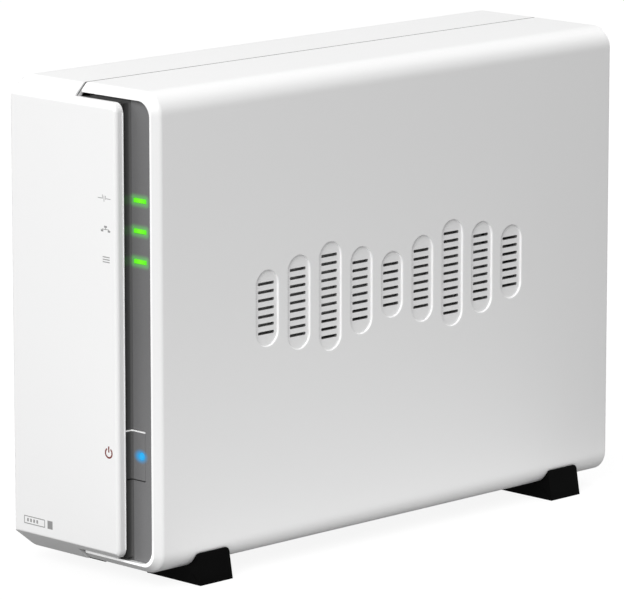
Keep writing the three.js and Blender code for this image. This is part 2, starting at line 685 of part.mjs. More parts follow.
function platter() {
  const [low, high] = PLATTER_X;
  const [inner, outer] = [HUB_RADIUS, PLATTER_RADIUS];
  const profile = [[inner, low], [outer, low], [outer, high], [inner, high], [inner, low]];
  const turned = profile.map(([r, x]) => new THREE.Vector2(r, x));
  return solid(new THREE.LatheGeometry(turned, 40));
}

// Turned about the local X axis: the arm towards +Y carries the head, the one towards -Y the coil.
function actuatorArm() {
  const barrel = rod('x', 0, 0, 6.5, [6, 19.5], 16);
  const arm = polygon([[0, -5.5], [0, 5.5], [ARM_LENGTH - 2, 1.6], [ARM_LENGTH, 0], [ARM_LENGTH - 2, -1.6]]);
  const coil = polygon([[2, -5], [-9, -9], [-16, -8], [-18, 0], [-16, 8], [-9, 9], [2, 5]]);
  return join([barrel, prism('x', arm, [13.6, 15.4]), prism('x', coil, [13.6, 15.4])]);
}

// Lathes turn about Y; this lays their axis along X.
function layAlongX(mesh, y, z) {
  mesh.rotation.z = -Math.PI / 2;
  mesh.position.set(0, y, z);
  return mesh;
}

function diskDrive() {
  const lidSpan = [DRIVE_Y, DRIVE_Z].map(([low, high]) => [low + 0.5, high - 0.5]);
  const lidOutline = roundedRectangle(...lidSpan, 3);
  const arm = piece('actuator_arm', actuatorArm(), ALUMINIUM);
  arm.rotation.x = ARM_PARKED;
  arm.position.set(0, PIVOT.y, PIVOT.z);
  const screws = driveScrewPlaces().map(([y, z], i) => {
    const seat = DRIVE_X[0] - BRACKET_THICK - 2 * GAP;
    return screw(`drive_screw_${i + 1}`, 6, 2.9, [seat, y, z], [0, 0, Math.PI / 2]);
  });
  return group(
    piece('drive_bracket', driveBracket(), STEEL),
    piece('drive_base', driveBase(), ALUMINIUM),
    piece('drive_lid', prism('x', lidOutline, [DRIVE_X[1] - 0.8, DRIVE_X[1]], 2), STEEL),
    piece('drive_circuit', block([-2.9, -1.4], [-40, 55], [62, 144]), BOARD),
    layAlongX(piece('spindle_hub', spindleHub(), ALUMINIUM), SPINDLE.y, SPINDLE.z),
    layAlongX(piece('platter', platter(), MIRROR), SPINDLE.y, SPINDLE.z),
    arm,
    piece('coil_magnet', block([5.2, 12.8], around(33, 8), around(64, 6)), STEEL),
    ...screws,
  );
}

function fanScrewPlaces() {
  const corners = [[-1, -1], [1, -1], [-1, 1], [1, 1]];
  return corners.map(([sx, sz]) => [FAN_X + sx * FAN_HOLE, FAN_Z + sz * FAN_HOLE]);
}

// The fan is drawn about its own axis, which is the local Y axis, with the motor mount at the back.
function fanFrame() {
  const half = FAN_SIZE / 2;
  const frame = prism('y', roundedRectangle(around(0, half), around(0, half), 3), FAN_Y, 1);
  const bore = rod('y', 0, 0, FAN_BORE, [FAN_Y[0] - 1, FAN_Y[1] + 1], 36);
  const holes = fanScrewPlaces().map(([x, z]) => (
    rod('y', x - FAN_X, z - FAN_Z, SCREW_HOLE, [FAN_Y[1] - 9, FAN_Y[1] + 1], 10)
  ));
  const strutY = [FAN_Y[1] - 2, FAN_Y[1]];
  const long = around(0, FAN_BORE + 1);
  const narrow = around(0, 1.5);
  const struts = [block(long, strutY, narrow), block(narrow, strutY, long)];
  const mount = rod('y', 0, 0, 14, strutY, 20);
  const post = rod('y', 0, 0, 4.5, [FAN_Y[0] + 3.5, FAN_Y[1]], 12);
  const bearing = rod('y', 0, 0, 1.5, [FAN_Y[0], FAN_Y[1] - 1], 10);
  return join([cut(frame, [bore, ...holes]), ...struts, mount, post]).subtract(bearing);
}

function fanBlade(i) {
  const [from, to] = [12.5, BLADE_RADIUS + 2];
  const geometry = new THREE.BoxGeometry(to - from, 13, 1.1);
  geometry.translate((from + to) / 2, 0, 0);
  geometry.rotateX(BLADE_PITCH);
  geometry.rotateY((i * 2 * Math.PI) / BLADES);
  geometry.translate(0, (FAN_Y[0] + FAN_Y[1]) / 2 - 1, 0);
  return solid(geometry);
}

function fanRotor() {
  const span = [FAN_Y[0] + 0.8, FAN_Y[1] - 2.6];
  const hub = rod('y', 0, 0, 13.4, span, 28);
  const cup = rod('y', 0, 0, 12, [FAN_Y[0] + 2.6, FAN_Y[1]], 20);
  const shaft = rod('y', 0, 0, 1.1, [FAN_Y[0] + 2, FAN_Y[1] - 2.4], 10);
  const limit = rod('y', 0, 0, BLADE_RADIUS, span, 40);
  const blades = join(Array.from({ length: BLADES }, (_, i) => fanBlade(i))).intersect(limit);
  return hub.add(blades).subtract(cup).add(shaft);
}

function fan() {
  const turning = group(piece('fan_frame', fanFrame(), BLACK), piece('fan_rotor', fanRotor(), BLACK));
  turning.position.set(FAN_X, 0, FAN_Z);
  const screws = fanScrewPlaces().map(([x, z], i) => (
    screw(`fan_screw_${i + 1}`, 9.5, 3, [x, PANEL_OUTSIDE + GAP, z])
  ));
  return group(turning, piece('fan_cable', cable(FAN_CABLE), BLACK), ...screws);
}

// Right-hand foot: flared outwards to the table, hollowed to the casing's rounded lower edge.
function footBody() {
  const arcRadius = CORNER + GAP;
  const centreX = HALF_WIDTH - CORNER;
  const centreZ = UNDERSIDE + CORNER;
  const topAngle = -Math.asin((centreZ - FOOT_TOP) / arcRadius);
  const outline = new THREE.Shape();
  outline.moveTo(FOOT_INNER, 0);
  outline.lineTo(FOOT_OUTER_BOTTOM, 0);
  outline.lineTo(centreX + arcRadius * Math.cos(topAngle) + 0.4, FOOT_TOP);
  outline.absarc(centreX, centreZ, arcRadius, topAngle, -Math.PI / 2, true);
  outline.lineTo(FOOT_INNER, UNDERSIDE - GAP);
  outline.closePath();
  const peg = rod('z', PEG_X, 0, PEG_RADIUS, [UNDERSIDE - 1, UNDERSIDE + WALL + 1.4], 12);
  return prism('y', outline, around(0, FOOT_LENGTH / 2)).add(peg);
}

function feet() {
  const places = ['front', 'rear'].flatMap((end) => [[end, 'left'], [end, 'right']]);
  return group(...places.map(([end, side]) => {
    const foot = piece(`foot_${end}_${side}`, footBody(), BLACK);
    foot.rotation.z = side === 'left' ? Math.PI : 0;
    foot.position.y = FOOT_Y[end];
    return foot;
  }));
}

const storage = group(
  casing(),
  frontAssembly(),
  mainBoardAssembly(),
  sockets(),
  rearAssembly(),
  sataRiser(),
  diskDrive(),
  fan(),
  feet(),
);

export default storage;
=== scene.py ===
import functools
import math
import random

import bmesh
import bpy
from mathutils import Matrix, Vector


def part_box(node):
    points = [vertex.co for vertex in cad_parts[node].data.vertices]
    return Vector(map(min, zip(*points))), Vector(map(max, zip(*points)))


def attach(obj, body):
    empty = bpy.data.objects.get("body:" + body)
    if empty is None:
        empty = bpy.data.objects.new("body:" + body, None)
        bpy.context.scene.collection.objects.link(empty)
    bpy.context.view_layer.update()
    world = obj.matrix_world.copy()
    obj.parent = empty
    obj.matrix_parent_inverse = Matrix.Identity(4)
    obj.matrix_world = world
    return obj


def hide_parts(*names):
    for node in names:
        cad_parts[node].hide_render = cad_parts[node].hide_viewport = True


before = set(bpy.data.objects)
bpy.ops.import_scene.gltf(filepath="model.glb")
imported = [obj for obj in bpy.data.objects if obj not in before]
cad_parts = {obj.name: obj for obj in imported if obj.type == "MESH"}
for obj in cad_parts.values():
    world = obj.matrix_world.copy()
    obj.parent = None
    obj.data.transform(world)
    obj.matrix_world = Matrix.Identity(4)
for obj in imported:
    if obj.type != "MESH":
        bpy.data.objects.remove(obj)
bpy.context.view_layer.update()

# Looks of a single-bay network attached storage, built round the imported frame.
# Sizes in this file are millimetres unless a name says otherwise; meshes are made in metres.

MM = 0.001


def span(node):
    """A CAD node's extents in millimetres, as (x0, x1), (y0, y1), (z0, z1)."""
    low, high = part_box(node)
    return tuple((a / MM, b / MM) for a, b in zip(low, high))


def middle(extent):
    return (extent[0] + extent[1]) / 2


def centre(node):
    return [middle(extent) for extent in span(node)]


def around(place, half):
    return place - half, place + half


# ---- sizes

(LEFT, WING_RIGHT), (FRONT, BACK), (BOTTOM, TOP) = span("main_shell")
(_, HALF_WIDTH), (RIM_FRONT, _), _ = span("cover_shell")
STRIP_X, _, STRIP_Z = span("front_strip")
BUTTON_X, BUTTON_Y, BUTTON_Z = span("power_button")
LENS_X, LENS_Y, _ = span("power_lens")
PANEL_X, PANEL_Y, _ = span("rear_panel")
LIGHTS = ("light_pipe_status", "light_pipe_network", "light_pipe_disk")

WALL = 2.4
CORNER = 7
SEAM_X = -1.6
SEAM_HALF_GAP = 0.2
FRONT_CHAMFER = 5.8
LEFT_CHAMFER = 2.8
REAR_BEVEL = 1
FACE_ROUND = 0.9
EDGE_ROUND = 1.2
SEAM_ROUND = 0.12
FAR = 400

WING_Z = (9.4, 156.9)
WING_CORNER = 3
WING_THICK = 3.3
WING_ROUND = 1.3
WING_LIP = 0.22
RIM_CHAMFER = 2.25
RIM_INSET = 2.95
RIM_CORNER = 5.2
RIM_DEPTH = 4.8
RIM_ROUND = 1.8

VENT_HEIGHTS = (25, 31, 36, 29, 22, 29, 36, 31, 25)
VENT_PITCH = 14.4
VENT_WIDTH = 10
VENT_MIDDLE = (2, 86)
VENT_RECESS = 0.7
VENT_ROUND = 0.35
VENTS_Y = (-70, 75)
VENTS_ABOVE = 60
SLOT_PITCH = 2.7
SLOT_HEIGHT = 1
SLOT_WIDTH = 7.2

STRIP_FACE = -102.7
STRIP_THICK = 1.8
STRIP_LEFT = SEAM_X + 0.4
PAD_RIGHT = WING_RIGHT - 0.1
PAD_FILLET = 0.8
STEM_X = 20.3
BUTTON_GAP = 0.25
BUTTON_SIDE_GAP = 0.1
BUTTON_LOWER_GAP = 0.42

FOOT_ROUND = 1.5
FOOT_TOP = 10.3

PANEL_THICK = 2.2
TAB_X = 23.2
TAB_Y = (105, 106.6)
TONGUES_Y = (-60, 60)
BOARD_SEAT_X = -26.2
BOARD_RAIL_X = -24
BOARD_RAIL_Z = (147.6, 153.6)
LOCK_SLOT = ((12.5, 19.5), (16.4, 19.6))
CASE_SCREW_X = 26.6
SCREW_HOLE = 1.7
SCREW_HEAD = 1.8
SCREW_TWIST = 17
CORE_GAP = 0.2
MARK_PROUD = 0.03

BLADE_ROOT = 12.9
BLADE_TIP = 27.2
BLADES = 7
SMALL_PARTS = 130

# The CAD nodes that stand on the main board, and those that keep their own shape
USB_SOCKETS = ("usb_socket_lower", "usb_socket_upper")
LEGGED_CHIPS = ("memory_chip_1", "memory_chip_2", "flash_chip", "lan_transformer")
BOARD_NODES = (*LEGGED_CHIPS, "processor", "heatsink", "capacitor_1", "capacitor_2", "power_coil",
               "clock_battery", "board_screw_1", "board_screw_2", "board_screw_3", "board_screw_4",
               "lan_socket", *USB_SOCKETS, "power_socket", "reset_switch", "sata_riser")
KEPT_NODES = {
    "board": ("led_board", "main_board", "sata_riser", "drive_circuit"),
    "chip": (*LEGGED_CHIPS, "processor", "power_switch", "reset_switch", "power_socket",
             "sata_connector", "capacitor_1", "capacitor_2"),
    "steel": ("lan_socket", *USB_SOCKETS, "clock_battery", "drive_bracket", "drive_lid",
              "coil_magnet"),
    "aluminium": ("heatsink", "drive_base", "spindle_hub", "actuator_arm"),
    "black": ("led_cable", "fan_cable", "fan_frame", "reset_button"),
    "disk": ("platter",),
    "ferrite": ("power_coil",),
}

# Colours that several places share, as grey levels or as red, green and blue
# Painted shading on the strip's face: darkest around one height, lighter towards its ends
STRIP_TONE = (0.145, 0.145, 0.147)
STRIP_LIT_END_TONE = (0.185, 0.185, 0.188)
STRIP_SHADIEST_Z = 108
# Painted shade on the pad's side wall behind the front face: nearly black at its front, dark grey at
# its back
PAD_SHADE_EDGE_TONE = 0.022
PAD_SHADE_BACK_TONE = 0.085
# Light colours: the cores and edges are the lit windows; the halos and the blue spot are painted glow
# on the dark strip round them
GREEN_HALO = (0.06, 1.0, 0.02)
GREEN_CORE = (0.2, 0.92, 0.022)
GREEN_EDGE = (0.1, 0.86, 0.018)
BLUE_HALO = (0.02, 0.38, 0.82)
BLUE_CORE = (0.035, 0.44, 0.86)
BLUE_EDGE = (0.02, 0.4, 0.84)
HALO_REACH = 2.5
HALO_FALL = 1.7
HALO_STRENGTH = 0.26
BLUE_GLOW_SPOT = (3.8, 2.8)

# Studio, in degrees and metres; a lamp is (direction, size, strength) and a bounce is (x, y, strength)
CAMERA_AZIMUTH = 45.1
CAMERA_ELEVATION = 11.15
CAMERA_DISTANCE = 1.684
CAMERA_TARGET = (0.0002, -0.0027, 0.0768)
CAMERA_LENS = 290.7
FLOOR_HALF = 6
FLOOR_GLOW = 0.9
FLOOR_MIRRORED = 0.35
SKY = 0.48
SKY_SEEN = 1.0
LAMP_DISTANCE = 2.6
LAMP_AIM = (0, 0, 0.08)
LAMPS = {
    "key": ((0.39, -0.73, 0.565), 1.5, 0.725),
    "overhead": ((0.1, 0.1, 1), 1.8, 0.17),
    "left": ((-0.6, -0.7, 0.4), 1.5, 0.25),
    "rear": ((-0.05, 0.93, 0.35), 1.5, 0.32),
}
BOUNCE_HEIGHT = 0.002
BOUNCES = {
    "near_bounce": ((0.0355, 0.05), (-0.1, 0.125), 0.62),
    "wide_bounce": ((0.045, 0.16), (-0.3, 0.08), 0.5),
}


# ---- mesh building

def new_object(name, mesh):
    piece = bpy.data.objects.new(name, mesh)
    bpy.context.scene.collection.objects.link(piece)
    return piece


def solid(name, vertices, faces):
    """An object from points in millimetres, with its faces turned outwards."""
    mesh = bpy.data.meshes.new(name)
    mesh.from_pydata([[c * MM for c in v] for v in vertices], [], faces)
    shape = bmesh.new()
    shape.from_mesh(mesh)
    bmesh.ops.remove_doubles(shape, verts=shape.verts, dist=1e-7)
    bmesh.ops.recalc_face_normals(shape, faces=shape.faces)
    shape.to_mesh(mesh)
    shape.free()
    return new_object(name, mesh)


def arc(u, v, radius, start, end, steps):
    """Points of an arc; angles in quarter turns."""
    angles = [(start + (end - start) * i / steps) * math.pi / 2 for i in range(steps + 1)]
    return [(u + radius * math.cos(a), v + radius * math.sin(a)) for a in angles]


def circle(u, v, radius, steps=48):
    return arc(u, v, radius, 0, 4, steps)[:-1]


def rounded(u, v, radius, steps=14):
    """Outline of a rounded rectangle, anticlockwise."""
    (u0, u1), (v0, v1) = u, v
    outline = arc(u1 - radius, v0 + radius, radius, -1, 0, steps)
    outline += arc(u1 - radius, v1 - radius, radius, 0, 1, steps)
    outline += arc(u0 + radius, v1 - radius, radius, 1, 2, steps)
    outline += arc(u0 + radius, v0 + radius, radius, 2, 3, steps)
    return outline


def rectangle(u, v):
    return [(u[0], v[0]), (u[1], v[0]), (u[1], v[1]), (u[0], v[1])]


PLACE = {
    "x": lambda u, v, w: (w, u, v),
    "y": lambda u, v, w: (u, w, v),
    "z": lambda u, v, w: (u, v, w),
}


def prism(axis, outline, along, name="tool"):
    """An outline in the other two axes, in alphabetical order, pushed along an axis."""
    place = PLACE[axis]
    count = len(outline)
    vertices = [place(u, v, w) for w in along for u, v in outline]
    faces = [tuple(range(count)), tuple(range(count, 2 * count))]
    faces += [(i, (i + 1) % count, count + (i + 1) % count, count + i) for i in range(count)]
    return solid(name, vertices, faces)


def rod(axis, u, v, radius, along, steps=32, name="tool"):
    return prism(axis, circle(u, v, radius, steps), along, name)


def block(x, y, z, name="tool"):
    return prism("z", rectangle(x, y), z, name)


def turned(name, profile, steps=40):
    """A solid of revolution about Y from (radius, y) points that start and end on the axis."""
    rings = profile[1:-1]
    vertices = [(0, profile[0][1], 0), (0, profile[-1][1], 0)]
    for radius, y in rings:
        vertices += [(u, y, v) for u, v in circle(0, 0, radius, steps)]
    faces = []
    for i in range(steps):
        j = (i + 1) % steps
        faces.append((0, 2 + i, 2 + j))
        last = 2 + (len(rings) - 1) * steps
        faces.append((1, last + j, last + i))
        for ring in range(len(rings) - 1):
            a, b = 2 + ring * steps, 2 + (ring + 1) * steps
            faces.append((a + i, b + i, b + j, a + j))
    return solid(name, vertices, faces)


def settle(piece):
    """Applies a piece's modifiers to its mesh."""
    graph = bpy.context.evaluated_depsgraph_get()
    mesh = bpy.data.meshes.new_from_object(piece.evaluated_get(graph))
    piece.modifiers.clear()
    worn = piece.data
    piece.data = mesh
    mesh.name = piece.name
    bpy.data.meshes.remove(worn)
    return piece


def discard(piece):
    mesh = piece.data
    bpy.data.objects.remove(piece)
    bpy.data.meshes.remove(mesh)


def combine(piece, tools, operation):
    """Cuts, joins or intersects a piece with each tool, and uses the tools up."""
    for tool in tools:
        modifier = piece.modifiers.new("combine", "BOOLEAN")
        modifier.operation = operation
        modifier.solver = "EXACT"
        modifier.object = tool
        settle(piece)
        discard(tool)
    return piece


def cut(piece, *tools):
    return combine(piece, tools, "DIFFERENCE")


def unite(piece, *tools):
    return combine(piece, tools, "UNION")


def keep(piece, *tools):
    return combine(piece, tools, "INTERSECT")


def bundle(pieces, name="tool"):
    """Several separate meshes as one object, with no boolean."""
    whole = bmesh.new()
    for piece in pieces:
        whole.from_mesh(piece.data)
    mesh = bpy.data.meshes.new(name)
    whole.to_mesh(mesh)
    whole.free()
    for piece in pieces:
        discard(piece)
    return new_object(name, mesh)


def stretched_over(points, name="tool"):
    """The skin stretched over some points, in millimetres."""
    shape = bmesh.new()
    for point in points:
        shape.verts.new([c * MM for c in point])
    bmesh.ops.remove_doubles(shape, verts=shape.verts, dist=1e-6)
    bmesh.ops.convex_hull(shape, input=shape.verts)
    loose = [vertex for vertex in shape.verts if not vertex.link_faces]
    bmesh.ops.delete(shape, geom=loose, context="VERTS")
    bmesh.ops.dissolve_limit(shape, angle_limit=math.radians(0.3), verts=shape.verts, edges=shape.edges)
    bmesh.ops.recalc_face_normals(shape, faces=shape.faces)
    mesh = bpy.data.meshes.new(name)
    shape.to_mesh(mesh)
    shape.free()
    return new_object(name, mesh)


def split_faces(piece, planes):
    """Cuts a piece's faces along planes, given as (axis, place), to keep shading flat between them."""
    shape = bmesh.new()
    shape.from_mesh(piece.data)
    for axis, place in planes:
        normal = [float(letter == axis) for letter in "xyz"]
        point = [place * MM * c for c in normal]
        everything = shape.verts[:] + shape.edges[:] + shape.faces[:]
        bmesh.ops.bisect_plane(shape, geom=everything, plane_co=point, plane_no=normal)
    shape.to_mesh(piece.data)
    shape.free()
    return piece


def soft_edges(piece, width, chosen, segments=3):
    """Rounds the edges that a test picks out by their two ends, in millimetres."""
    shape = bmesh.new()
    shape.from_mesh(piece.data)
    edges = [edge for edge in shape.edges
             if edge.calc_face_angle(0) > 0.35 and chosen(*(v.co / MM for v in edge.verts))]
    bmesh.ops.bevel(shape, geom=edges, offset=width * MM, segments=segments, profile=0.5,
                    affect="EDGES")
    shape.to_mesh(piece.data)
    shape.free()
    return piece


def soften(piece, width, segments=3, angle=32):
    """Rounds a piece's sharp edges and smooths its shading."""
    modifier = piece.modifiers.new("round", "BEVEL")
    modifier.width = width * MM
    modifier.segments = segments
    modifier.limit_method = "ANGLE"
    modifier.angle_limit = math.radians(angle)
    modifier.use_clamp_overlap = True
    modifier.miter_outer = "MITER_ARC"
    return smooth(settle(piece), angle)


def smooth(piece, angle=32):
    mesh = piece.data
    mesh.shade_smooth()
    mesh.set_sharp_from_angle(angle=math.radians(angle))
    weighted = piece.modifiers.new("shade", "WEIGHTED_NORMAL")
    weighted.keep_sharp = True
    return piece


# ---- casing

def casing_outline(inset, radius=None):
    if radius is None:
        radius = CORNER - inset
    return rounded(around(0, HALF_WIDTH - inset), (BOTTOM + inset, TOP - inset), radius)


def face_profile(depth, setback):
    """How far the chamfer round the front face stands in, at a depth behind the face."""
    turn = math.atan2(FRONT_CHAMFER, setback)
    if depth < FACE_ROUND * (1 - math.cos(turn)):
        start = setback + FACE_ROUND * math.tan(turn / 2)
        return start - math.sqrt(FACE_ROUND ** 2 - (FACE_ROUND - depth) ** 2)
    return edge_profile(FRONT_CHAMFER - depth, math.pi / 2 - turn, setback / FRONT_CHAMFER, EDGE_ROUND)


def edge_profile(before, turn, slope, radius):
    """The same beside the edge where a chamfer meets the casing, at a distance before that edge."""
    behind = before + radius * math.tan(turn / 2)
    if behind <= 0:
        return 0
    if behind < radius * math.sin(turn):
        return radius - math.sqrt(radius ** 2 - behind ** 2)
    return slope * before


def spread(low, high, count):
    return [low + (high - low) * i / (count - 1) for i in range(count)]


def rear_loops(outline):
    """The casing's rounded back edge, from an outline that takes an inset."""
    loops = [(0, BACK - REAR_BEVEL)]
    for angle in spread(0.2, math.pi / 2, 5):
        loops.append((REAR_BEVEL * (1 - math.cos(angle)), BACK - REAR_BEVEL * (1 - math.sin(angle))))
    return [(u, y, v) for inset, y in loops for u, v in outline(inset)]


def front_loops():
    """The chamfered front: a face with square corners, which fan out to the casing's round ones."""
    points = []
    widest = math.atan2(FRONT_CHAMFER, LEFT_CHAMFER)
    for angle in spread(0, widest, 7):
        depth = FACE_ROUND * (1 - math.cos(angle))
        across = (LEFT + face_profile(depth, LEFT_CHAMFER), FAR)
        inset = face_profile(depth, FRONT_CHAMFER)
        points += [(u, FRONT + depth, v) for u, v in rectangle(across, (BOTTOM + inset, TOP - inset))]
    for depth in spread(FRONT_CHAMFER - EDGE_ROUND / 2, FRONT_CHAMFER + EDGE_ROUND / 2, 7):
        across = (LEFT + face_profile(depth, LEFT_CHAMFER), FAR)
        inset = face_profile(depth, FRONT_CHAMFER)
        outline = rounded(across, (BOTTOM + inset, TOP - inset), CORNER - inset)
        points += [(u, FRONT + depth, v) for u, v in outline]
    return points


def left_casing():
    """Everything inside the casing's outer surface, as the left half shows it."""
    def outline(inset):
        return rounded((LEFT + inset, FAR), (BOTTOM + inset, TOP - inset), CORNER - inset)
    return stretched_over(front_loops() + rear_loops(outline))


def left_cavity():
    depth = FRONT_CHAMFER - WALL * (2 - math.sqrt(2))
    front, left = FRONT + WALL, LEFT + WALL
    upright = (BOTTOM + WALL, TOP - WALL)
    face = rectangle((left + LEFT_CHAMFER * depth / FRONT_CHAMFER, FAR),
                     (upright[0] + depth, upright[1] - depth))
    body = rounded((left, FAR), upright, CORNER - WALL)
    points = [(u, front, v) for u, v in face]
    return stretched_over(points + [(u, y, v) for y in (front + depth, BACK + 1) for u, v in body])


def on_seam(side):
    """A test for edges of the seam's face on the left half (-1) or the right half (1)."""
    seam = SEAM_X + side * SEAM_HALF_GAP
    return lambda a, b: max(abs(a.x - seam), abs(b.x - seam)) < 0.01


def board_screw_places():
    return [centre(f"board_screw_{i}")[1:] for i in (1, 2, 3, 4)]


def case_screw_heights():
    return [centre(f"case_screw_{end}")[2] for end in ("upper", "lower")]


def main_shell():
    shell = block((-FAR, SEAM_X - SEAM_HALF_GAP), (-FAR, FAR), (-FAR, FAR), "casing_left")
    cut(shell, left_cavity())
    unite(shell, *front_wing())
    keep(shell, left_casing())
    soft_edges(shell, SEAM_ROUND, on_seam(-1))
    split_faces(shell, [
        ("x", LEFT + CORNER + 0.4), ("z", BOTTOM + CORNER + 0.4), ("z", TOP - CORNER - 0.4),
        ("x", SEAM_X - 0.6), ("x", WING_RIGHT - WING_CORNER - 0.5), ("y", FRONT + WING_ROUND + 0.1)])
    smooth(shell, 28)
    inner = LEFT + WALL
    fittings = []
    for y, z in board_screw_places():
        boss = rod("x", y, z, 3.2, (inner - 0.5, BOARD_SEAT_X))
        fittings.append(cut(boss, rod("x", y, z, SCREW_HOLE, (inner + 0.2, 0))))
    for y, _ in board_screw_places()[2:]:
        fittings.append(block((inner - 0.5, BOARD_RAIL_X), around(y, 6), BOARD_RAIL_Z))
    return shell, bundle(fittings, "casing_left_bosses")


def front_wing():
    """The part of the front face right of the seam, with a thin lip along its back edge."""
    left = SEAM_X - 3
    loops = [(0, FRONT + WING_THICK)]
    for angle in spread(0, math.pi / 2, 7):
        loops.append((WING_ROUND * (1 - math.sin(angle)),
                      FRONT - 0.02 + WING_ROUND * (1 - math.cos(angle))))
    points = []
    for inset, y in loops:
        outline = rounded((left, WING_RIGHT - inset), grown(WING_Z, -inset), WING_CORNER - inset)
        points += [(u, y, v) for u, v in outline]
    face = stretched_over(points)
    lip_z = (WING_Z[0] + WING_CORNER, WING_Z[1] - WING_CORNER)
    lip = block((left, WING_RIGHT + WING_LIP), around(FRONT + WING_THICK - 0.12, 0.12), lip_z)
    return face, lip


def vent_places():
    first = VENT_MIDDLE[0] - (len(VENT_HEIGHTS) - 1) * VENT_PITCH / 2
    return [(first + i * VENT_PITCH, height) for i, height in enumerate(VENT_HEIGHTS)]


def vent_recesses():
    tools = []
    for y, height in vent_places():
        half = VENT_WIDTH / 2
        outline = rounded(around(y, half), around(VENT_MIDDLE[1], height / 2), half - 0.01, 12)
        tools.append(prism("x", outline, (HALF_WIDTH - VENT_RECESS, HALF_WIDTH + 2)))
    return bundle(tools)


def vent_slots():
    tools = []
    for y, height in vent_places():
        count = int((height - VENT_WIDTH / 2) / SLOT_PITCH)
        lowest = VENT_MIDDLE[1] - (count - 1) * SLOT_PITCH / 2
        for i in range(count):
            z = around(lowest + i * SLOT_PITCH, SLOT_HEIGHT / 2)
            outline = rounded(around(y, SLOT_WIDTH / 2), z, 0.3, 3)
            tools.append(prism("x", outline, (HALF_WIDTH - 5, HALF_WIDTH + 1)))
    return bundle(tools)


def right_casing():
    """Everything inside the cover's outer surface, chamfered round its front rim."""
    loops = [(RIM_CHAMFER, RIM_FRONT)]
    edge = RIM_FRONT + RIM_CHAMFER
    for y in spread(edge - RIM_ROUND / 2, edge + RIM_ROUND / 2, 7):
        loops.append((edge_profile(edge - y, math.pi / 4, 1, RIM_ROUND), y))
    points = [(u, y, v) for inset, y in loops for u, v in casing_outline(inset)]
    return stretched_over(points + rear_loops(casing_outline), "casing_right")


def cover_shell():
    shell = keep(right_casing(), block((SEAM_X + SEAM_HALF_GAP, FAR), (-FAR, FAR), (-FAR, FAR)))
    cut(shell, prism("y", casing_outline(RIM_INSET, RIM_CORNER), (-FAR, RIM_FRONT + RIM_DEPTH + 1)))
    cut(shell, prism("y", casing_outline(WALL), (RIM_FRONT + RIM_DEPTH, FAR)))
    cut(shell, vent_recesses())
    soft_edges(shell, VENT_ROUND, is_vent_edge, 3)
    soft_edges(shell, SEAM_ROUND, on_seam(1), 2)
    cut(shell, vent_slots())
    split_faces(shell, [
        ("z", BOTTOM + CORNER + 0.4), ("z", TOP - CORNER - 0.4), ("x", HALF_WIDTH - CORNER - 0.4)])
    smooth(shell, 28)
    return shell, cover_fittings()


def is_vent_edge(a, b):
    """True for edges on the outer side, well inside its border, where only the vents are."""
    return all(end.x > HALF_WIDTH - 0.01 and VENTS_Y[0] < end.y < VENTS_Y[1] and end.z > VENTS_ABOVE
               for end in (a, b))


def cover_fittings():
    """Tongues along the seam and the two slotted screw tabs at the back."""
    fittings = []
    ceiling, floor = TOP - WALL, BOTTOM + WALL
    for y in TONGUES_Y:
        along = around(y, 7)
        for root, tongue in (((ceiling - 2.2, ceiling + 0.3), (ceiling - 2.2, ceiling - 0.3)),
                             ((floor - 0.3, floor + 2.2), (floor + 0.3, floor + 2.2))):
            fittings.append(block((SEAM_X + 0.5, SEAM_X + 6), along, root))
            fittings.append(block((SEAM_X - 3.8, SEAM_X + 0.5), along, tongue))
    for z in case_screw_heights():
        tab = block((TAB_X, HALF_WIDTH - WALL + 0.5), TAB_Y, around(z, 4.4))
        slot = block((TAB_X - 1, CASE_SCREW_X), (100, 110), around(z, SCREW_HOLE))
        cut(tab, slot, rod("y", CASE_SCREW_X, z, SCREW_HOLE, (100, 110)))
        fittings.append(tab)
    return bundle(fittings, "casing_right_fittings")


# ---- front

def pad():
    front = FRONT + WING_THICK + CORE_GAP
    fillet = arc(PAD_RIGHT + PAD_FILLET, STRIP_FACE - PAD_FILLET, PAD_FILLET, 2, 1, 10)
    outline = [(STRIP_LEFT, STRIP_FACE + 1), (STRIP_LEFT, front), (PAD_RIGHT, front), *fillet,
               (PAD_RIGHT + PAD_FILLET, STRIP_FACE + 1)]
    body = prism("z", outline, (0, TOP))
    upright = (WING_Z[0] + CORE_GAP, WING_Z[1] - CORE_GAP)
    frame_outline = rounded((STRIP_LEFT - 4, STRIP_X[1]), upright, WING_CORNER)
    return keep(body, prism("y", frame_outline, (-FAR, STRIP_FACE + 2)))


def strip_plate(name="tool"):
    outline = rounded((STRIP_LEFT, STRIP_X[1]), STRIP_Z, RIM_CORNER - CORE_GAP)
    return unite(prism("y", outline, (STRIP_FACE, STRIP_FACE + STRIP_THICK), name), pad())


def grown(extent, margin):
    return extent[0] - margin, extent[1] + margin


def front_strip():
    strip = strip_plate("front_insert")
    windows = []
    for light in LIGHTS:
        x, _, z = span(light)
        windows.append(prism("y", rounded(grown(x, 0.1), grown(z, 0.1), 0.25, 4), (-FAR, FAR)))
    hole_x = (BUTTON_X[0] - BUTTON_GAP, BUTTON_X[1] + BUTTON_SIDE_GAP)
    hole_z = (BUTTON_Z[0] - BUTTON_LOWER_GAP, BUTTON_Z[1] + BUTTON_GAP)
    hole = prism("y", rounded(hole_x, hole_z, 0.4, 4), (-FAR, FAR))
    cut(strip, bundle(windows), hole)
    return soften(strip, 0.12, 2)


def power_button():
    cap = strip_plate("button_cap")
    keep(cap, prism("y", rounded(BUTTON_X, BUTTON_Z, 0.3, 4), (-FAR, FAR)))
    x, _, z = centre("power_lens")
    cut(cap, rod("y", x, z, (LENS_X[1] - LENS_X[0]) / 2 + 0.05, (-FAR, FAR)))
    unite(cap, rod("y", STEM_X, z, 1.6, (STRIP_FACE + 1, BUTTON_Y[1])))
    return soften(cap, 0.22, 3)


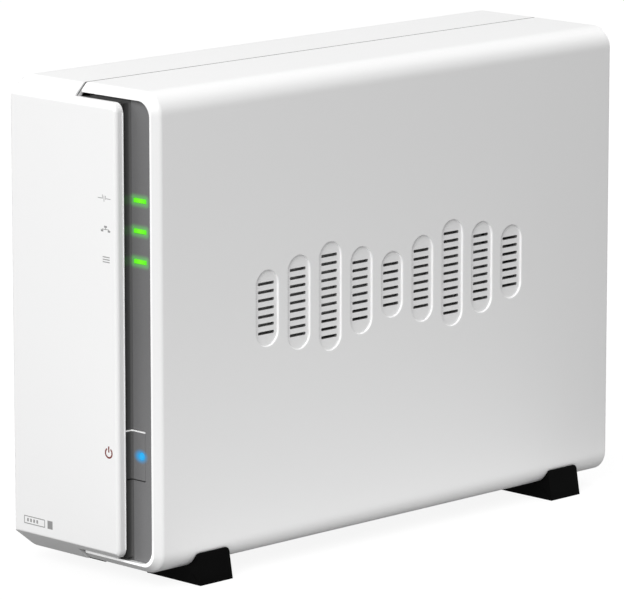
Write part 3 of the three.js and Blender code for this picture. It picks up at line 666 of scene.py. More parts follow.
def power_lens():
    x, _, z = centre("power_lens")
    lens = rod("y", x, z, (LENS_X[1] - LENS_X[0]) / 2, LENS_Y, 40, "power_light")
    return soften(lens, 0.2, 3)


def light_pipe(name):
    x, y, z = span(name)
    pipe = prism("y", rounded(x, z, 0.2, 4), y, f"{name}_window")
    return soften(pipe, 0.12, 2)


# ---- printed marks on the front face

def face_mark(name, outlines):
    """Thin printed shapes on the front face, from outlines in (x, z)."""
    depth = (FRONT - MARK_PROUD, FRONT + 0.1)
    return bundle([prism("y", outline, depth) for outline in outlines], name)


def ring(x, z, outer, inner, start=0, end=4, steps=40):
    return arc(x, z, outer, start, end, steps) + arc(x, z, inner, end, start, steps)


def bar(x, z, width, height):
    return rectangle(around(x, width / 2), around(z, height / 2))


def power_mark():
    x, z, radius, line = 15.1, 43.9, 1.8, 0.55
    loop = ring(x, z, radius, radius - line, 1.35, 4.65)
    return face_mark("mark_power", [loop, bar(x, z + 1.2, line, 2)])


def status_marks():
    line = 0.22
    status, network, disk = (centre(light)[2] + 0.4 for light in LIGHTS)
    pulse = [bar(11.9, status, 2, line), bar(13.1, status + 0.5, line, 1.3),
             bar(13.8, status - 0.1, line, 1.9),
             bar(14.5, status + 0.3, line, 1.2), bar(15.8, status, 2, line)]
    tree = [bar(14.4, network + 0.75, 1.3, 0.6), bar(14.4, network + 0.2, line, 0.6),
            bar(14.4, network - 0.1, 3.4, line), bar(12.8, network - 0.6, 1.1, 0.6),
            bar(16, network - 0.6, 1.1, 0.6)]
    stack = [bar(14.6, disk + dz, 3.2, line * 1.4) for dz in (-0.8, 0, 0.8)]
    return face_mark("marks_lights", pulse + tree + stack)


def corner_mark():
    x, z, line = -19, 15.4, 0.28
    frame_bars = [bar(x - 1.8, z + 1.2, 10, line), bar(x - 1.8, z - 1.2, 10, line),
                  bar(x - 6.7, z, line, 2.1), bar(x + 3.1, z, line, 2.1)]
    inner = [bar(x - 5 + i * 1.5, z, 0.75, 1.1) for i in range(4)]
    return face_mark("mark_corner", frame_bars + inner + [bar(x + 5.7, z, 2.4, 2.7)])


# ---- feet

def foot(name):
    x, y, _ = span(name)
    side = 1 if middle(x) > 0 else -1
    radius = CORNER + CORE_GAP
    turn_x, turn_z = HALF_WIDTH - CORNER, BOTTOM + CORNER
    top_angle = -math.asin((turn_z - FOOT_TOP) / radius) / (math.pi / 2)
    outer_bottom = max(abs(x[0]), abs(x[1]))
    inner = min(abs(x[0]), abs(x[1]))
    hollow = arc(turn_x, turn_z, radius, top_angle, -1, 12)
    outline = [(inner, 0), (outer_bottom, 0), (hollow[0][0] + 0.4, FOOT_TOP), *hollow,
               (inner, BOTTOM - CORE_GAP)]
    body = prism("y", [(side * u, v) for u, v in outline], y, f"{name}_boot")
    keep(body, prism("x", rounded(y, (-FOOT_ROUND, FOOT_TOP), FOOT_ROUND), (-FAR, FAR)))
    return soften(body, 0.5, 3, 28)


# ---- rear

def grille_outlines():
    fan_x, _, fan_z = centre("fan_frame")
    radius, pitch, height = 27, 4.5, 2.6
    outlines = []
    for i in range(-6, 7):
        half = max(math.sqrt(radius * radius - (i * pitch) ** 2) - 1, 3)
        outlines.append(rounded(around(fan_x, half), around(fan_z + i * pitch, height / 2), 1.25, 8))
    return outlines


def rear_panel():
    across = (PANEL_Y[1] - PANEL_THICK - 1, PANEL_Y[1] + 1)
    inner = PANEL_Y[1] - PANEL_THICK
    panel = prism("y", casing_outline(WALL + 0.3), (inner, PANEL_Y[1]), "back_plate")
    cut(panel, *[block((TAB_X - 0.4, FAR), across, around(z, 4.7)) for z in case_screw_heights()])
    holes = [prism("y", outline, across) for outline in grille_outlines()]
    for socket in ("lan_socket", *USB_SOCKETS, "power_socket"):
        x, _, z = span(socket)
        holes.append(prism("y", rounded(grown(x, 0.4), grown(z, 0.4), 0.6, 5), across))
    for i in (1, 2, 3, 4):
        x, _, z = centre(f"fan_screw_{i}")
        holes.append(rod("y", x, z, SCREW_HOLE, across))
    x, _, z = centre("reset_button")
    holes.append(rod("y", x, z, 1.5, across))
    holes.append(prism("y", rounded(*LOCK_SLOT, 0.8, 5), across))
    cut(panel, bundle(holes))
    soften(panel, 0.25, 3)
    seats = []
    for z in case_screw_heights():
        seats.append(block((TAB_X - 2.6, PANEL_X[1] - 0.1), (inner - 2.2, inner - 0.01), around(z, 5)))
        seats.append(rod("y", CASE_SCREW_X, z, 3, (96.5, inner - 2.2)))
    return panel, bundle(seats, "back_plate_bosses")


def screw_mesh(shank_length):
    """A cross-recessed screw whose seat is at the origin; the head looks towards +Y."""
    head = [(2.95, 0), (3, 0.25), (2.85, 0.75), (2.45, 1.25), (1.7, 1.6), (0.8, 1.76)]
    crest, pitch = 1.4, 0.35
    grooves = [(crest if i % 2 else 1.15, -0.4 - i * pitch)
               for i in range(int((shank_length - 1) / pitch))]
    shank = [(1.2, -shank_length + 0.4)] + grooves[::-1] + [(crest, 0)]
    body = turned("screw", [(0, -shank_length), *shank, *head, (0, SCREW_HEAD)], 28)
    arms = [block(around(0, wide), (0.75, 3), around(0, high))
            for wide, high in ((1.35, 0.26), (0.26, 1.35))]
    return cut(body, *arms)


def screws():
    """Every screw of the frame, each turned to the side that its head looks to."""
    made = []
    groups = {
        "case_screw": (("upper", "lower"), "y", 1),
        "fan_screw": ((1, 2, 3, 4), "y", 1),
        "board_screw": ((1, 2, 3, 4), "x", 1),
        "drive_screw": ((1, 2, 3, 4), "x", -1),
    }
    for kind, (ends, axis, way) in groups.items():
        for end in ends:
            name = f"{kind}_{end}"
            extents = span(name)
            along = extents["xyz".index(axis)]
            length = along[1] - along[0] - SCREW_HEAD
            piece = screw_mesh(length)
            piece.name = f"{name}_cross_head"
            seat = along[1] - SCREW_HEAD if way > 0 else along[0] + SCREW_HEAD
            place = centre(name)
            place["xyz".index(axis)] = seat
            turn = math.radians({("y", 1): 0, ("x", 1): -90, ("x", -1): 90}[axis, way])
            twist = math.radians(SCREW_TWIST * len(made))
            move = Matrix.Translation([c * MM for c in place])
            piece.data.transform(move @ Matrix.Rotation(turn, 4, "Z") @ Matrix.Rotation(twist, 4, "Y"))
            smooth(piece)
            made.append((name, piece))
    return made


# ---- fan

def fan_blade(start, span_y):
    """One swept and twisted blade, as a thin bent sheet that runs from the hub to the tip."""
    rows, columns, thickness = 8, 8, 1.0
    front, back = span_y[0] + 0.6, span_y[1] - 1.2
    sheet = []
    for row in range(rows):
        out = row / (rows - 1)
        radius = BLADE_ROOT + (BLADE_TIP - BLADE_ROOT) * out
        width = 0.78 - 0.2 * out
        for column in range(columns):
            along = column / (columns - 1)
            angle = start + 0.28 * out + width * along
            y = front + (back - front) * (along ** 1.25) + 1.4 * out * (1 - along)
            sheet.append((radius * math.cos(angle), y, radius * math.sin(angle)))
    count = rows * columns
    vertices = sheet + [(x, y + thickness, z) for x, y, z in sheet]
    faces = []
    for row in range(rows - 1):
        for column in range(columns - 1):
            a = row * columns + column
            faces.append((a, a + 1, a + columns + 1, a + columns))
            faces.append((count + a, count + a + columns, count + a + columns + 1, count + a + 1))
    rim = list(range(columns)) + [row * columns + columns - 1 for row in range(1, rows)]
    rim += [(rows - 1) * columns + column for column in range(columns - 2, -1, -1)]
    rim += [row * columns for row in range(rows - 2, 0, -1)]
    for a, b in zip(rim, rim[1:] + rim[:1]):
        faces.append((a, b, count + b, count + a))
    return solid("tool", vertices, faces)


def fan_rotor():
    front, back = span("fan_rotor")[1]
    x, _, z = centre("fan_frame")
    hub = turned("fan_hub", [
        (0, front), (12.4, front), (13.1, front + 0.25), (13.4, front + 0.9), (13.4, back),
        (12.2, back), (12.2, front + 2.1), (1.1, front + 2.1), (1.1, back), (0, back)], 56)
    blades = [fan_blade(i * math.tau / BLADES, (front, back)) for i in range(BLADES)]
    rotor = bundle([hub, *blades], "fan_blades_and_hub")
    rotor.data.transform(Matrix.Translation((x * MM, 0, z * MM)))
    return smooth(rotor)


# ---- electronics

def board_face():
    return span("main_board")[0][1]


def is_free(y, z, taken):
    return all(not (y0 < y < y1 and z0 < z < z1) for (y0, y1), (z0, z1) in taken)


def small_parts():
    """Resistors and capacitors scattered over the free parts of the main board, in two meshes."""
    dice = random.Random(11)
    face = board_face()
    _, board_y, board_z = span("main_board")
    taken = [(grown(span(name)[1], 1.8), grown(span(name)[2], 1.8)) for name in BOARD_NODES]
    bodies, ends = [], []
    while len(bodies) < SMALL_PARTS:
        y = dice.uniform(board_y[0] + 2, board_y[1] - 2)
        z = dice.uniform(board_z[0] + 2, board_z[1] - 2)
        if not is_free(y, z, taken):
            continue
        taken.append((around(y, 2.1), around(z, 1.7)))
        length, width = dice.choice(((0.8, 0.42), (1.0, 0.6), (0.6, 0.34)))
        lies_along_y = dice.random() < 0.6
        half_y, half_z = (length, width) if lies_along_y else (width, length)
        bodies.append(block((face, face + 0.5), around(y, half_y), around(z, half_z)))
        for side in (-1, 1):
            end_y = y + side * length * 0.8 if lies_along_y else y
            end_z = z if lies_along_y else z + side * length * 0.8
            end_half = (length * 0.22, width + 0.02) if lies_along_y else (width + 0.02, length * 0.22)
            ends.append(block((face, face + 0.52), around(end_y, end_half[0]),
                              around(end_z, end_half[1])))
    return bundle(bodies, "small_parts"), bundle(ends, "small_part_ends")


def chip_legs():
    """Rows of bent legs along the two long sides of each chip package."""
    face = board_face()
    legs = []
    pitch = 1.27
    for name in LEGGED_CHIPS:
        _, y, z = span(name)
        count = int((y[1] - y[0] - 1) / pitch)
        first = middle(y) - (count - 1) * pitch / 2
        for i in range(count):
            along = around(first + i * pitch, 0.2)
            for edge, way in ((z[0], -1), (z[1], 1)):
                reach = sorted((edge, edge + way * 1.1))
                shoulder = sorted((edge, edge + way * 0.5))
                legs.append(block((face, face + 0.2), along, reach))
                legs.append(block((face + 0.1, face + 0.7), along, shoulder))
    return bundle(legs, "chip_legs")


def pin_headers():
    """Off-white headers where the two cables land on the main board."""
    face = board_face()
    led = span("led_cable")
    fan = span("fan_cable")
    headers = [block((face, face + 4.4), around(led[1][1] + 0.6, 2.4), around(33.6, 3.6)),
               block((face, face + 4.4), around(fan[1][0] - 0.8, 2.4), around(fan[2][0] + 0.6, 3.6))]
    return soften(bundle(headers, "cable_headers"), 0.2, 2)


def socket_contacts():
    """Gold contacts inside the network and data sockets."""
    contacts = []
    x, y, z = span("lan_socket")
    for i in range(8):
        along = around(middle(z) + (i - 3.5) * 1.02, 0.23)
        contacts.append(block((x[0] + 1.75, x[0] + 2.1), (y[1] - 12, y[1] - 2.4), along))
        contacts.append(block((x[0] + 2.1, x[0] + 4.6), (y[1] - 12, y[1] - 11.6), along))
    for name in USB_SOCKETS:
        x, y, z = span(name)
        for i in range(4):
            along = around(middle(z) + (i - 1.5) * 2.3, 0.5)
            contacts.append(block((x[0] + 5.3, x[0] + 5.42), (y[1] - 9, y[1] - 2), along))
    return bundle(contacts, "socket_contacts")


def socket_tongues():
    tongues = []
    for name in USB_SOCKETS:
        x, y, z = span(name)
        tongues.append(block((x[0] + 3.46, x[0] + 5.34), (y[1] - 9.9, y[1] - 0.94),
                             around(middle(z), 5.24)))
    return soften(bundle(tongues, "data_socket_tongues"), 0.15, 2)


def socket_lamps():
    x, y, z = span("lan_socket")
    lamps = [block((x[1] - 1.35, x[1] - 0.3), (y[1] - 2, y[1] + 0.06),
                   around(middle(z) + side * 5.4, 1.2)) for side in (-1, 1)]
    return soften(bundle(lamps, "network_socket_lamps"), 0.1, 2)


def power_pin():
    x, y, z = span("power_socket")
    pin = rod("y", middle(x), middle(z), 1.04, (y[1] - 9.9, y[1] - 0.75), 28, "power_socket_pin")
    return soften(pin, 0.25, 3)


# ---- drive

def lid_details():
    """Pressed ring, centre cap and screw heads on the drive's lid, and its plain label."""
    (_, outside), y, z = span("drive_lid")
    _, hub_y, hub_z = centre("platter")
    raised = cut(rod("x", hub_y, hub_z, 37, (outside - 0.1, outside + 0.5), 72),
                 rod("x", hub_y, hub_z, 35, (outside - 0.2, outside + 1), 72))
    cap = rod("x", hub_y, hub_z, 6.5, (outside - 0.1, outside + 0.35), 40)
    pressed = soften(bundle([raised, cap], "lid_pressing"), 0.2, 3)
    heads = []
    for head_y in (y[0] + 5, middle(y), y[1] - 5):
        for head_z in (z[0] + 4.5, z[1] - 4.5):
            head = rod("x", head_y, head_z, 2.3, (outside - 0.1, outside + 0.7), 28)
            heads.append(cut(head, rod("x", head_y, head_z, 1, (outside + 0.25, outside + 2), 6)))
    outline = rounded((2, y[1] - 4), (z[0] + 12, z[1] - 12), 2, 6)
    label = prism("x", outline, (outside - 0.05, outside + 0.12), "plain_label")
    return pressed, soften(bundle(heads, "lid_screws"), 0.15, 2), soften(label, 0.04, 2)


# ---- materials

def material(name):
    """A new node material: (material, tree, principled shader, the shaded point in millimetres)."""
    made = bpy.data.materials.new(name)
    made.use_nodes = True
    tree = made.node_tree
    return made, tree, tree.nodes["Principled BSDF"], place_in_mm(tree)


def feed(made, inputs):
    """Fills a node's inputs, with a link wherever a value comes from another node."""
    for key, value in inputs.items():
        if isinstance(value, bpy.types.NodeSocket):
            made.id_data.links.new(value, made.inputs[key])
        else:
            made.inputs[key].default_value = value
    return made


def node(tree, kind, inputs=None, **settings):
    made = tree.nodes.new(kind)
    for key, value in settings.items():
        setattr(made, key, value)
    return feed(made, inputs or {})


def maths(tree, operation, *values):
    return node(tree, "ShaderNodeMath", dict(enumerate(values)), operation=operation).outputs["Value"]


def vectors(tree, operation, *values):
    made = node(tree, "ShaderNodeVectorMath", dict(enumerate(values)), operation=operation)
    return made.outputs["Value" if operation in ("LENGTH", "DISTANCE") else "Vector"]


def product(tree, values):
    return functools.reduce(lambda a, b: maths(tree, "MULTIPLY", a, b), values)


def highest(tree, values):
    return functools.reduce(lambda a, b: maths(tree, "MAXIMUM", a, b), values)


def place_in_mm(tree):
    where = node(tree, "ShaderNodeTexCoord").outputs["Object"]
    scaled = node(tree, "ShaderNodeVectorMath", {0: where, "Scale": 1 / MM}, operation="SCALE")
    return scaled.outputs["Vector"]


def noise(tree, where, size_mm, detail=3.0):
    made = node(tree, "ShaderNodeTexNoise", {"Vector": where, "Scale": 1 / size_mm, "Detail": detail})
    return made.outputs["Fac"]


def mottled(tree, where, size_mm, first, second, detail=3.0):
    return mix(tree, noise(tree, where, size_mm, detail), first, second)


def stretch(tree, value, low, high, to_low=0.0, to_high=1.0, kind="LINEAR"):
    """A value moved from one range to another, and held at the ends."""
    made = node(tree, "ShaderNodeMapRange", {
        "Value": value, "From Min": low, "From Max": high, "To Min": to_low, "To Max": to_high,
    }, interpolation_type=kind)
    return made.outputs["Result"]


def mix(tree, factor, first, second):
    """A blend of two colours."""
    made = node(tree, "ShaderNodeMix", data_type="RGBA")
    places = {socket.identifier: i for i, socket in enumerate(made.inputs)}
    feed(made, {places["Factor_Float"]: factor,
                places["A_Color"]: colour(first), places["B_Color"]: colour(second)})
    return next(s for s in made.outputs if s.identifier == "Result_Color")


def bump(tree, shader, height, depth_mm):
    made = node(tree, "ShaderNodeBump", {"Height": height, "Distance": depth_mm * MM, "Strength": 1.0})
    feed(shader, {"Normal": made.outputs["Normal"]})


def colour(value):
    """A colour from one grey level, or from red, green and blue; a link stays as it is."""
    if isinstance(value, bpy.types.NodeSocket):
        return value
    return (*value, 1) if isinstance(value, tuple) else (value, value, value, 1)


def plain(name, light, dark, roughness, metallic=0.0, grain_mm=3.0, bump_mm=0.004, specular=0.5):
    """Moulded or machined stuff: two close tones, uneven roughness and a fine bump."""
    made, tree, shader, where = material(name)
    feed(shader, {
        "Base Color": mottled(tree, where, grain_mm * 6, light, dark),
        "Roughness": stretch(tree, noise(tree, where, grain_mm * 2), 0, 1,
                             roughness * 0.85, roughness * 1.15),
        "Metallic": metallic,
        "Specular IOR Level": specular,
    })
    bump(tree, shader, noise(tree, where, grain_mm / 6, 5.0), bump_mm)
    return made


def glow_near(tree, where, extents, reach_mm):
    """1 inside a light window, falling smoothly to 0 at a distance from it."""
    x, _, z = extents
    half = ((x[1] - x[0]) / 2, FAR, (z[1] - z[0]) / 2)
    off_centre = vectors(tree, "ABSOLUTE", vectors(tree, "SUBTRACT", where, (middle(x), 0, middle(z))))
    outside = vectors(tree, "MAXIMUM", vectors(tree, "SUBTRACT", off_centre, half), (0, 0, 0))
    return stretch(tree, vectors(tree, "LENGTH", outside), 0, reach_mm, 1, 0, "SMOOTHERSTEP")


def spot(tree, where, point, halves):
    """1 in the middle of a soft oval round a point, falling to 0 at its rim."""
    scale = (1 / halves[0], 0, 1 / halves[1])
    scaled = vectors(tree, "MULTIPLY", vectors(tree, "SUBTRACT", where, point), scale)
    return stretch(tree, vectors(tree, "LENGTH", scaled), 0.1, 1, 1, 0, "SMOOTHSTEP")


def distance_from(tree, value, place):
    return maths(tree, "ABSOLUTE", maths(tree, "SUBTRACT", value, place))


def seen_light(tree, strength):
    """Full strength where the camera looks at a light, and little of it on what stands round it."""
    camera_ray = node(tree, "ShaderNodeLightPath").outputs["Is Camera Ray"]
    return maths(tree, "MULTIPLY", strength, stretch(tree, camera_ray, 0, 1, 0.25, 1.0))


def slot_shade(tree, axes):
    """1 on the walls of the vent slots, where little light gets in, and 0 elsewhere."""
    inner, outer = HALF_WIDTH - WALL, HALF_WIDTH - VENT_RECESS
    half_length = len(VENT_HEIGHTS) * VENT_PITCH / 2
    half_height = max(VENT_HEIGHTS) / 2
    from_middle = [distance_from(tree, axes[axis], place) for axis, place in zip("YZ", VENT_MIDDLE)]
    return product(tree, [
        stretch(tree, axes["X"], inner + 0.03, inner + 0.08),
        stretch(tree, axes["X"], outer - 0.1, outer - 0.03, 1.0, 0.0),
        stretch(tree, from_middle[0], half_length, half_length + 0.1, 1.0, 0.0),
        stretch(tree, from_middle[1], half_height, half_height + 0.1, 1.0, 0.0),
    ])


def seam_shade(tree, axes):
    """The shade in the seam between the casing's halves, over the top and down the chamfer in front."""
    chamfer_plane = RIM_FRONT + RIM_CHAMFER - TOP
    from_chamfer = maths(tree, "SUBTRACT", axes["Y"], axes["Z"])
    on_top = stretch(tree, axes["Z"], TOP - 0.4, TOP - 0.25)
    on_chamfer = stretch(tree, from_chamfer, chamfer_plane + 0.4, chamfer_plane + 0.55, 1.0, 0.0)
    return product(tree, [
        stretch(tree, distance_from(tree, axes["X"], SEAM_X), 0.22, 0.42, 0.92, 0.0),
        stretch(tree, from_chamfer, chamfer_plane - 0.15, chamfer_plane),
        stretch(tree, axes["Z"], WING_Z[1], WING_Z[1] + 0.1),
        highest(tree, [on_top, on_chamfer]),
    ])


def lip_glint(tree, axes):
    """A painted highlight, as emission: the bright line along the front of the cover's rim, strongest
    near its lower end.
    """
    return seen_light(tree, product(tree, [
        stretch(tree, axes["Z"], WING_Z[0], WING_Z[0] + 8, 0.42, 0.1),
        stretch(tree, axes["Y"], RIM_FRONT + 0.02, RIM_FRONT + 0.12, 1.0, 0.0),
        stretch(tree, axes["X"], SEAM_X, SEAM_X + 0.2),
        stretch(tree, axes["Y"], RIM_FRONT - 0.1, RIM_FRONT - 0.05),
    ]))


def shell_plastic(name):
    """White casing plastic, with painted shade in its seam and slots and a painted highlight along the
    cover's rim.
    """
    made, tree, shader, where = material(name)
    axes = node(tree, "ShaderNodeSeparateXYZ", {0: where}).outputs
    tone = mottled(tree, where, 70, 0.872, 0.862, 1.0)
    tone = mix(tree, slot_shade(tree, axes), tone, 0.2)
    feed(shader, {
        "Base Color": mix(tree, seam_shade(tree, axes), tone, 0.03),
        "Emission Color": colour(1),
        # Painted highlight: emission along the cover's rim
        "Emission Strength": lip_glint(tree, axes),
        "Roughness": stretch(tree, noise(tree, where, 40, 1.0), 0, 1, 0.33, 0.37),
    })
    bump(tree, shader, noise(tree, where, 1.2, 2.0), 0.0003)
    return made


def strip_tone(tree, where, painted_highlight_below_top):
    """Dark grey, painted nearly black beside the front face as shade, lighter towards its ends as
    painted shading, with a painted highlight line atop the button.
    """
    axes = node(tree, "ShaderNodeSeparateXYZ", {0: where}).outputs
    # Painted shade: the pad's side wall darkens from its back towards the front face
    depth = stretch(tree, axes["Y"], FRONT + WING_THICK + CORE_GAP, STRIP_FACE)
    ramp = node(tree, "ShaderNodeValToRGB", {"Fac": depth})
    stops = ramp.color_ramp.elements
    stops[0].color, stops[1].color = colour(0.003), colour(PAD_SHADE_BACK_TONE)
    stops.new(0.15).color = colour(PAD_SHADE_EDGE_TONE)
    beside_pad = stretch(tree, axes["X"], PAD_RIGHT + PAD_FILLET - 0.1, PAD_RIGHT + PAD_FILLET)
    # Painted shading: the face gets lighter further above and below its darkest height
    lit_toward_end = stretch(tree, distance_from(tree, axes["Z"], STRIP_SHADIEST_Z), 25, 95)
    face = mix(tree, lit_toward_end, STRIP_TONE, STRIP_LIT_END_TONE)
    tone = mix(tree, beside_pad, ramp.outputs["Color"], face)
    tone = mottled(tree, where, 0.35, tone, mix(tree, 0.03, tone, 1), 4.0)
    # Painted highlight: a bright line just below the button's top edge
    if painted_highlight_below_top:
        line = BUTTON_Z[1] - painted_highlight_below_top
        tone = mix(tree, stretch(tree, axes["Z"], line - 0.05, line), tone, 0.9)
    return tone


def strip_plastic(name, painted_highlight_below_top=0.0):
    """Dark grey insert, with painted light spilling round its windows and a painted blue glow round the
    power light.
    """
    made, tree, shader, where = material(name)
    # Painted glow: emission on the strip round the green windows and round the blue power light
    halo = highest(tree, [glow_near(tree, where, span(light), HALO_REACH) for light in LIGHTS])
    green = maths(tree, "MULTIPLY", maths(tree, "POWER", halo, HALO_FALL), HALO_STRENGTH)
    lens_x, _, lens_z = centre("power_lens")
    blue = spot(tree, where, (lens_x - 0.4, 0, lens_z - 0.1), BLUE_GLOW_SPOT)
    is_blue = stretch(tree, blue, 0, 0.01)
    feed(shader, {
        "Base Color": mix(tree, blue, strip_tone(tree, where, painted_highlight_below_top), 0.01),
        "Emission Color": mix(tree, is_blue, GREEN_HALO, BLUE_HALO),
        "Emission Strength": seen_light(tree, highest(tree, [green, blue])),
        "Specular IOR Level": 0.12,
        "Roughness": stretch(tree, noise(tree, where, 6), 0, 1, 0.44, 0.56),
    })
    bump(tree, shader, noise(tree, where, 0.25, 5.0), 0.002)
    return made


def lit_plastic(name, core, edge, extents, reach_mm):
    """A light window: brighter in the middle than at its ends."""
    made, tree, shader, where = material(name)
    x, y, z = extents
    away = vectors(tree, "DISTANCE", where, (middle(x), y[0], middle(z)))
    ripple = stretch(tree, noise(tree, where, 0.5), 0, 1, 0.94, 1.06)
    feed(shader, {
        "Base Color": colour(tuple(level * 0.1 for level in edge)),
        "Emission Color": mix(tree, stretch(tree, away, 0, reach_mm), core, edge),
        "Emission Strength": seen_light(tree, ripple),
        "Roughness": 0.3,
        "Specular IOR Level": 0.2,
    })
    return made


def circuit_board(name):
    """Green solder mask over copper tracks, with bright pads."""
    made, tree, shader, where = material(name)
    tracks = node(tree, "ShaderNodeTexBrick", {
        "Vector": where, "Scale": 0.32, "Mortar Size": 0.035, "Mortar Smooth": 0.1, "Bias": 0.0,
        "Color1": colour(0), "Color2": colour(0), "Mortar": colour(1),
    }).outputs["Color"]
    cells = node(tree, "ShaderNodeTexVoronoi", {"Vector": where, "Scale": 0.45})
    pads = stretch(tree, cells.outputs["Distance"], 0.1, 0.13, 1.0, 0.0)
    mask = mottled(tree, where, 20, (0.010, 0.10, 0.045), (0.016, 0.14, 0.06))
    copper = mix(tree, tracks, mask, (0.03, 0.24, 0.10))
    feed(shader, {
        "Base Color": mix(tree, pads, copper, (0.62, 0.6, 0.52)),
        "Roughness": stretch(tree, pads, 0, 1, 0.38, 0.3),
        "Metallic": pads,
    })
    bump(tree, shader, tracks, 0.03)
    return made


def brushed(name, light, dark, roughness, axis):
    """Metal with fine lines along one axis."""
    made, tree, shader, where = material(name)
    squeeze = [6.0, 6.0, 6.0]
    squeeze["xyz".index(axis)] = 0.08
    lines = noise(tree, vectors(tree, "MULTIPLY", where, squeeze), 1.0, 4.0)
    feed(shader, {
        "Base Color": mix(tree, lines, light, dark),
        "Roughness": stretch(tree, lines, 0.2, 0.8, roughness * 0.75, roughness * 1.25),
        "Metallic": 1.0,
    })
    bump(tree, shader, lines, 0.01)
    return made


MATERIALS = {
    "white": shell_plastic("white_gloss_plastic"),
    "white_inside": plain("white_moulded_fittings", 0.84, 0.81, 0.4),
    "rear": plain("white_satin_plastic", 0.8, 0.77, 0.42, bump_mm=0.008),
    "strip": strip_plastic("dark_insert_plastic"),
    # The button's plastic carries a painted highlight line 0.42 mm below its top
    "button": strip_plastic("dark_button_plastic", 0.42),
    "black": plain("black_moulded_plastic", 0.018, 0.012, 0.42, bump_mm=0.006),
    "rubber": plain("black_foot_rubber", 0.002, 0.001, 0.3, grain_mm=1.2, bump_mm=0.003, specular=0.05),
    "chip": plain("chip_moulding", 0.022, 0.015, 0.55, grain_mm=0.8, bump_mm=0.008),
    "board": circuit_board("green_circuit_board"),
    "screw": plain("plated_screw_steel", 0.55, 0.48, 0.3, metallic=1.0, grain_mm=0.8),
    "steel": brushed("zinc_plated_sheet", 0.66, 0.56, 0.32, "z"),
    "aluminium": plain("cast_aluminium", 0.66, 0.58, 0.45, metallic=1.0, grain_mm=1.0, bump_mm=0.03),
    "disk": plain("polished_disk", 0.85, 0.82, 0.06, metallic=1.0),
    "ferrite": plain("sintered_ferrite", 0.08, 0.06, 0.7, grain_mm=1.0, bump_mm=0.03),
    "tin": plain("tinned_metal", 0.7, 0.62, 0.3, metallic=1.0, grain_mm=0.8, bump_mm=0.01),
    "gold": plain("gold_contacts", (0.9, 0.66, 0.28), (0.82, 0.58, 0.22), 0.25,
                  metallic=1.0, grain_mm=0.6),
    "header": plain("natural_nylon", (0.72, 0.7, 0.62), (0.68, 0.66, 0.58), 0.45, grain_mm=1.0),
    "lamp": plain("unlit_lamp_window", (0.55, 0.5, 0.2), (0.48, 0.44, 0.16), 0.3, grain_mm=0.5),
    "label": plain("plain_paper_label", (0.8, 0.8, 0.78), (0.74, 0.74, 0.71), 0.6,
                   grain_mm=4.0, bump_mm=0.01),
    "mark_grey": plain("printed_grey", 0.3, 0.27, 0.4),
    "mark_red": plain("printed_red", (0.2, 0.03, 0.025), (0.17, 0.025, 0.02), 0.4),
    "power_lens": lit_plastic("blue_light", BLUE_CORE, BLUE_EDGE, span("power_lens"), 1.2),
}
MATERIALS.update({
    light: lit_plastic(f"{light}_green", GREEN_CORE, GREEN_EDGE, span(light), 3.2) for light in LIGHTS
})


# ---- assembly

def dress(piece, finish, body="chassis", stands_for=None):
    """Gives a piece its finish and the body it rides on, and hides the CAD node it stands for."""
    piece.data.materials.clear()
    piece.data.materials.append(MATERIALS[finish])
    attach(piece, body)
    if stands_for:
        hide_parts(stands_for)


def show_casing():
    for name, build, body, finish, fitting_finish in (
        ("main_shell", main_shell, "chassis", "white", "white_inside"),
        ("cover_shell", cover_shell, "cover", "white", "white_inside"),
        ("rear_panel", rear_panel, "chassis", "rear", "rear"),
    ):
        outer, fittings = build()
        dress(outer, finish, body, name)
        dress(fittings, fitting_finish, body, None)


def show_front():
    dress(front_strip(), "strip", "chassis", "front_strip")
    dress(power_button(), "button", "power_button", "power_button")
    dress(power_lens(), "power_lens", "power_button", "power_lens")
    for light in LIGHTS:
        dress(light_pipe(light), light, "chassis", light)
    marks = (status_marks(), "mark_grey"), (corner_mark(), "mark_grey"), (power_mark(), "mark_red")
    for mark, finish in marks:
        dress(smooth(mark), finish, "chassis", None)


def show_feet():
    for end in ("front", "rear"):
        for side, body in (("left", "chassis"), ("right", "cover")):
            name = f"foot_{end}_{side}"
            dress(foot(name), "rubber", body, name)


def show_screws():
    for name, piece in screws():
        dress(piece, "screw", "chassis", name)


def show_electronics():
    bodies, ends = small_parts()
    dress(smooth(bodies), "chip")
    dress(smooth(ends), "tin")
    dress(smooth(chip_legs()), "tin")
    dress(pin_headers(), "header")
    dress(smooth(socket_contacts()), "gold")
    dress(socket_tongues(), "black")
    dress(socket_lamps(), "lamp")
    dress(power_pin(), "tin")


def show_drive_and_fan():
    for piece, finish in zip(lid_details(), ("steel", "screw", "label")):
        dress(piece, finish)
    dress(fan_rotor(), "black", "fan_rotor", "fan_rotor")


def show_kept_nodes():
    """CAD nodes that stay: a small round on their edges, and a finish."""
    for finish, names in KEPT_NODES.items():
        for name in names:
            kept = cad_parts[name]
            kept.data.materials.clear()
            kept.data.materials.append(MATERIALS[finish])
            weld = kept.modifiers.new("weld", "WELD")
            weld.merge_threshold = 1e-6
            flat = kept.modifiers.new("flat", "DECIMATE")
            flat.decimate_type = "DISSOLVE"
            flat.angle_limit = math.radians(0.5)
            edge = kept.modifiers.new("round", "BEVEL")
            edge.width = 0.12 * MM
            edge.segments = 2
            edge.limit_method = "ANGLE"
            edge.angle_limit = math.radians(35)
            shade = kept.modifiers.new("shade", "WEIGHTED_NORMAL")
            shade.keep_sharp = False


# ---- studio

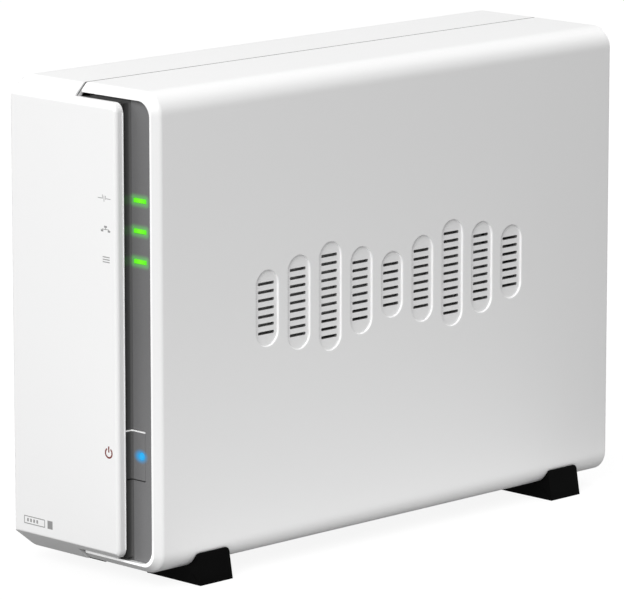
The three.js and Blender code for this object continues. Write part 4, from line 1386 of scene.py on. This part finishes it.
def camera():
    azimuth, elevation = math.radians(CAMERA_AZIMUTH), math.radians(CAMERA_ELEVATION)
    level = math.cos(elevation)
    back = Vector((math.sin(azimuth) * level, -math.cos(azimuth) * level, math.sin(elevation)))
    lens = bpy.data.cameras.new("camera")
    lens.lens = CAMERA_LENS
    lens.clip_end = 50
    view = bpy.data.objects.new("camera", lens)
    view.location = Vector(CAMERA_TARGET) + back * CAMERA_DISTANCE
    view.rotation_euler = (-back).to_track_quat("-Z", "Y").to_euler()
    bpy.context.scene.collection.objects.link(view)
    bpy.context.scene.camera = view


def area_light(name, shape, size, energy, place, aim):
    """A soft light that the camera can't see, in metres."""
    lamp = bpy.data.lights.new(name, "AREA")
    lamp.shape = shape
    lamp.size, lamp.size_y = size
    lamp.energy = energy
    made = bpy.data.objects.new(name, lamp)
    made.location = place
    made.rotation_euler = aim
    made.visible_camera = False
    bpy.context.scene.collection.objects.link(made)
    return made


def lamps():
    for name, (direction, size, strength) in LAMPS.items():
        place = Vector(direction).normalized() * LAMP_DISTANCE
        aim = (Vector(LAMP_AIM) - place).to_track_quat("-Z", "Y").to_euler()
        area_light(name, "DISK", (size, size), strength * (math.pi * LAMP_DISTANCE) ** 2, place, aim)


def table_bounce():
    """Light that the white table throws back up at the right-hand side."""
    for name, (x, y, strength) in BOUNCES.items():
        size = (x[1] - x[0], y[1] - y[0])
        energy = strength * math.pi * size[0] * size[1]
        place = (middle(x), middle(y), BOUNCE_HEIGHT)
        made = area_light(name, "RECTANGLE", size, energy, place, (math.pi, 0, 0))
        made.visible_glossy = False


def floor():
    """A pale table: nearly white to the camera, and a weak bounce to everything that stands on it."""
    corners = [(u, v, 0) for u, v in rectangle((-FLOOR_HALF, FLOOR_HALF), (-FLOOR_HALF, FLOOR_HALF))]
    mesh = bpy.data.meshes.new("floor")
    mesh.from_pydata(corners, [], [(0, 1, 2, 3)])
    ground = new_object("floor", mesh)
    made, tree, shader, where = material("pale_floor")
    path = node(tree, "ShaderNodeLightPath").outputs
    seen = maths(tree, "MULTIPLY", path["Is Camera Ray"], FLOOR_GLOW)
    mirrored = maths(tree, "MULTIPLY", path["Is Glossy Ray"], FLOOR_MIRRORED)
    feed(shader, {
        "Base Color": mottled(tree, where, 400, 0.13, 0.12),
        "Roughness": 0.9,
        "Specular IOR Level": 0.0,
        "Emission Color": colour(1),
        "Emission Strength": maths(tree, "ADD", seen, mirrored),
    })
    mesh.materials.append(made)


def sky():
    world = bpy.data.worlds.new("studio")
    world.use_nodes = True
    bpy.context.scene.world = world
    tree = world.node_tree
    seen = node(tree, "ShaderNodeLightPath").outputs["Is Camera Ray"]
    feed(tree.nodes["Background"], {
        "Color": colour(1), "Strength": stretch(tree, seen, 0, 1, SKY, SKY_SEEN)})


show_casing()
show_front()
show_feet()
show_screws()
show_electronics()
show_drive_and_fan()
show_kept_nodes()

bpy.context.scene.view_settings.view_transform = "Standard"
sky()
lamps()
table_bounce()
floor()
camera()
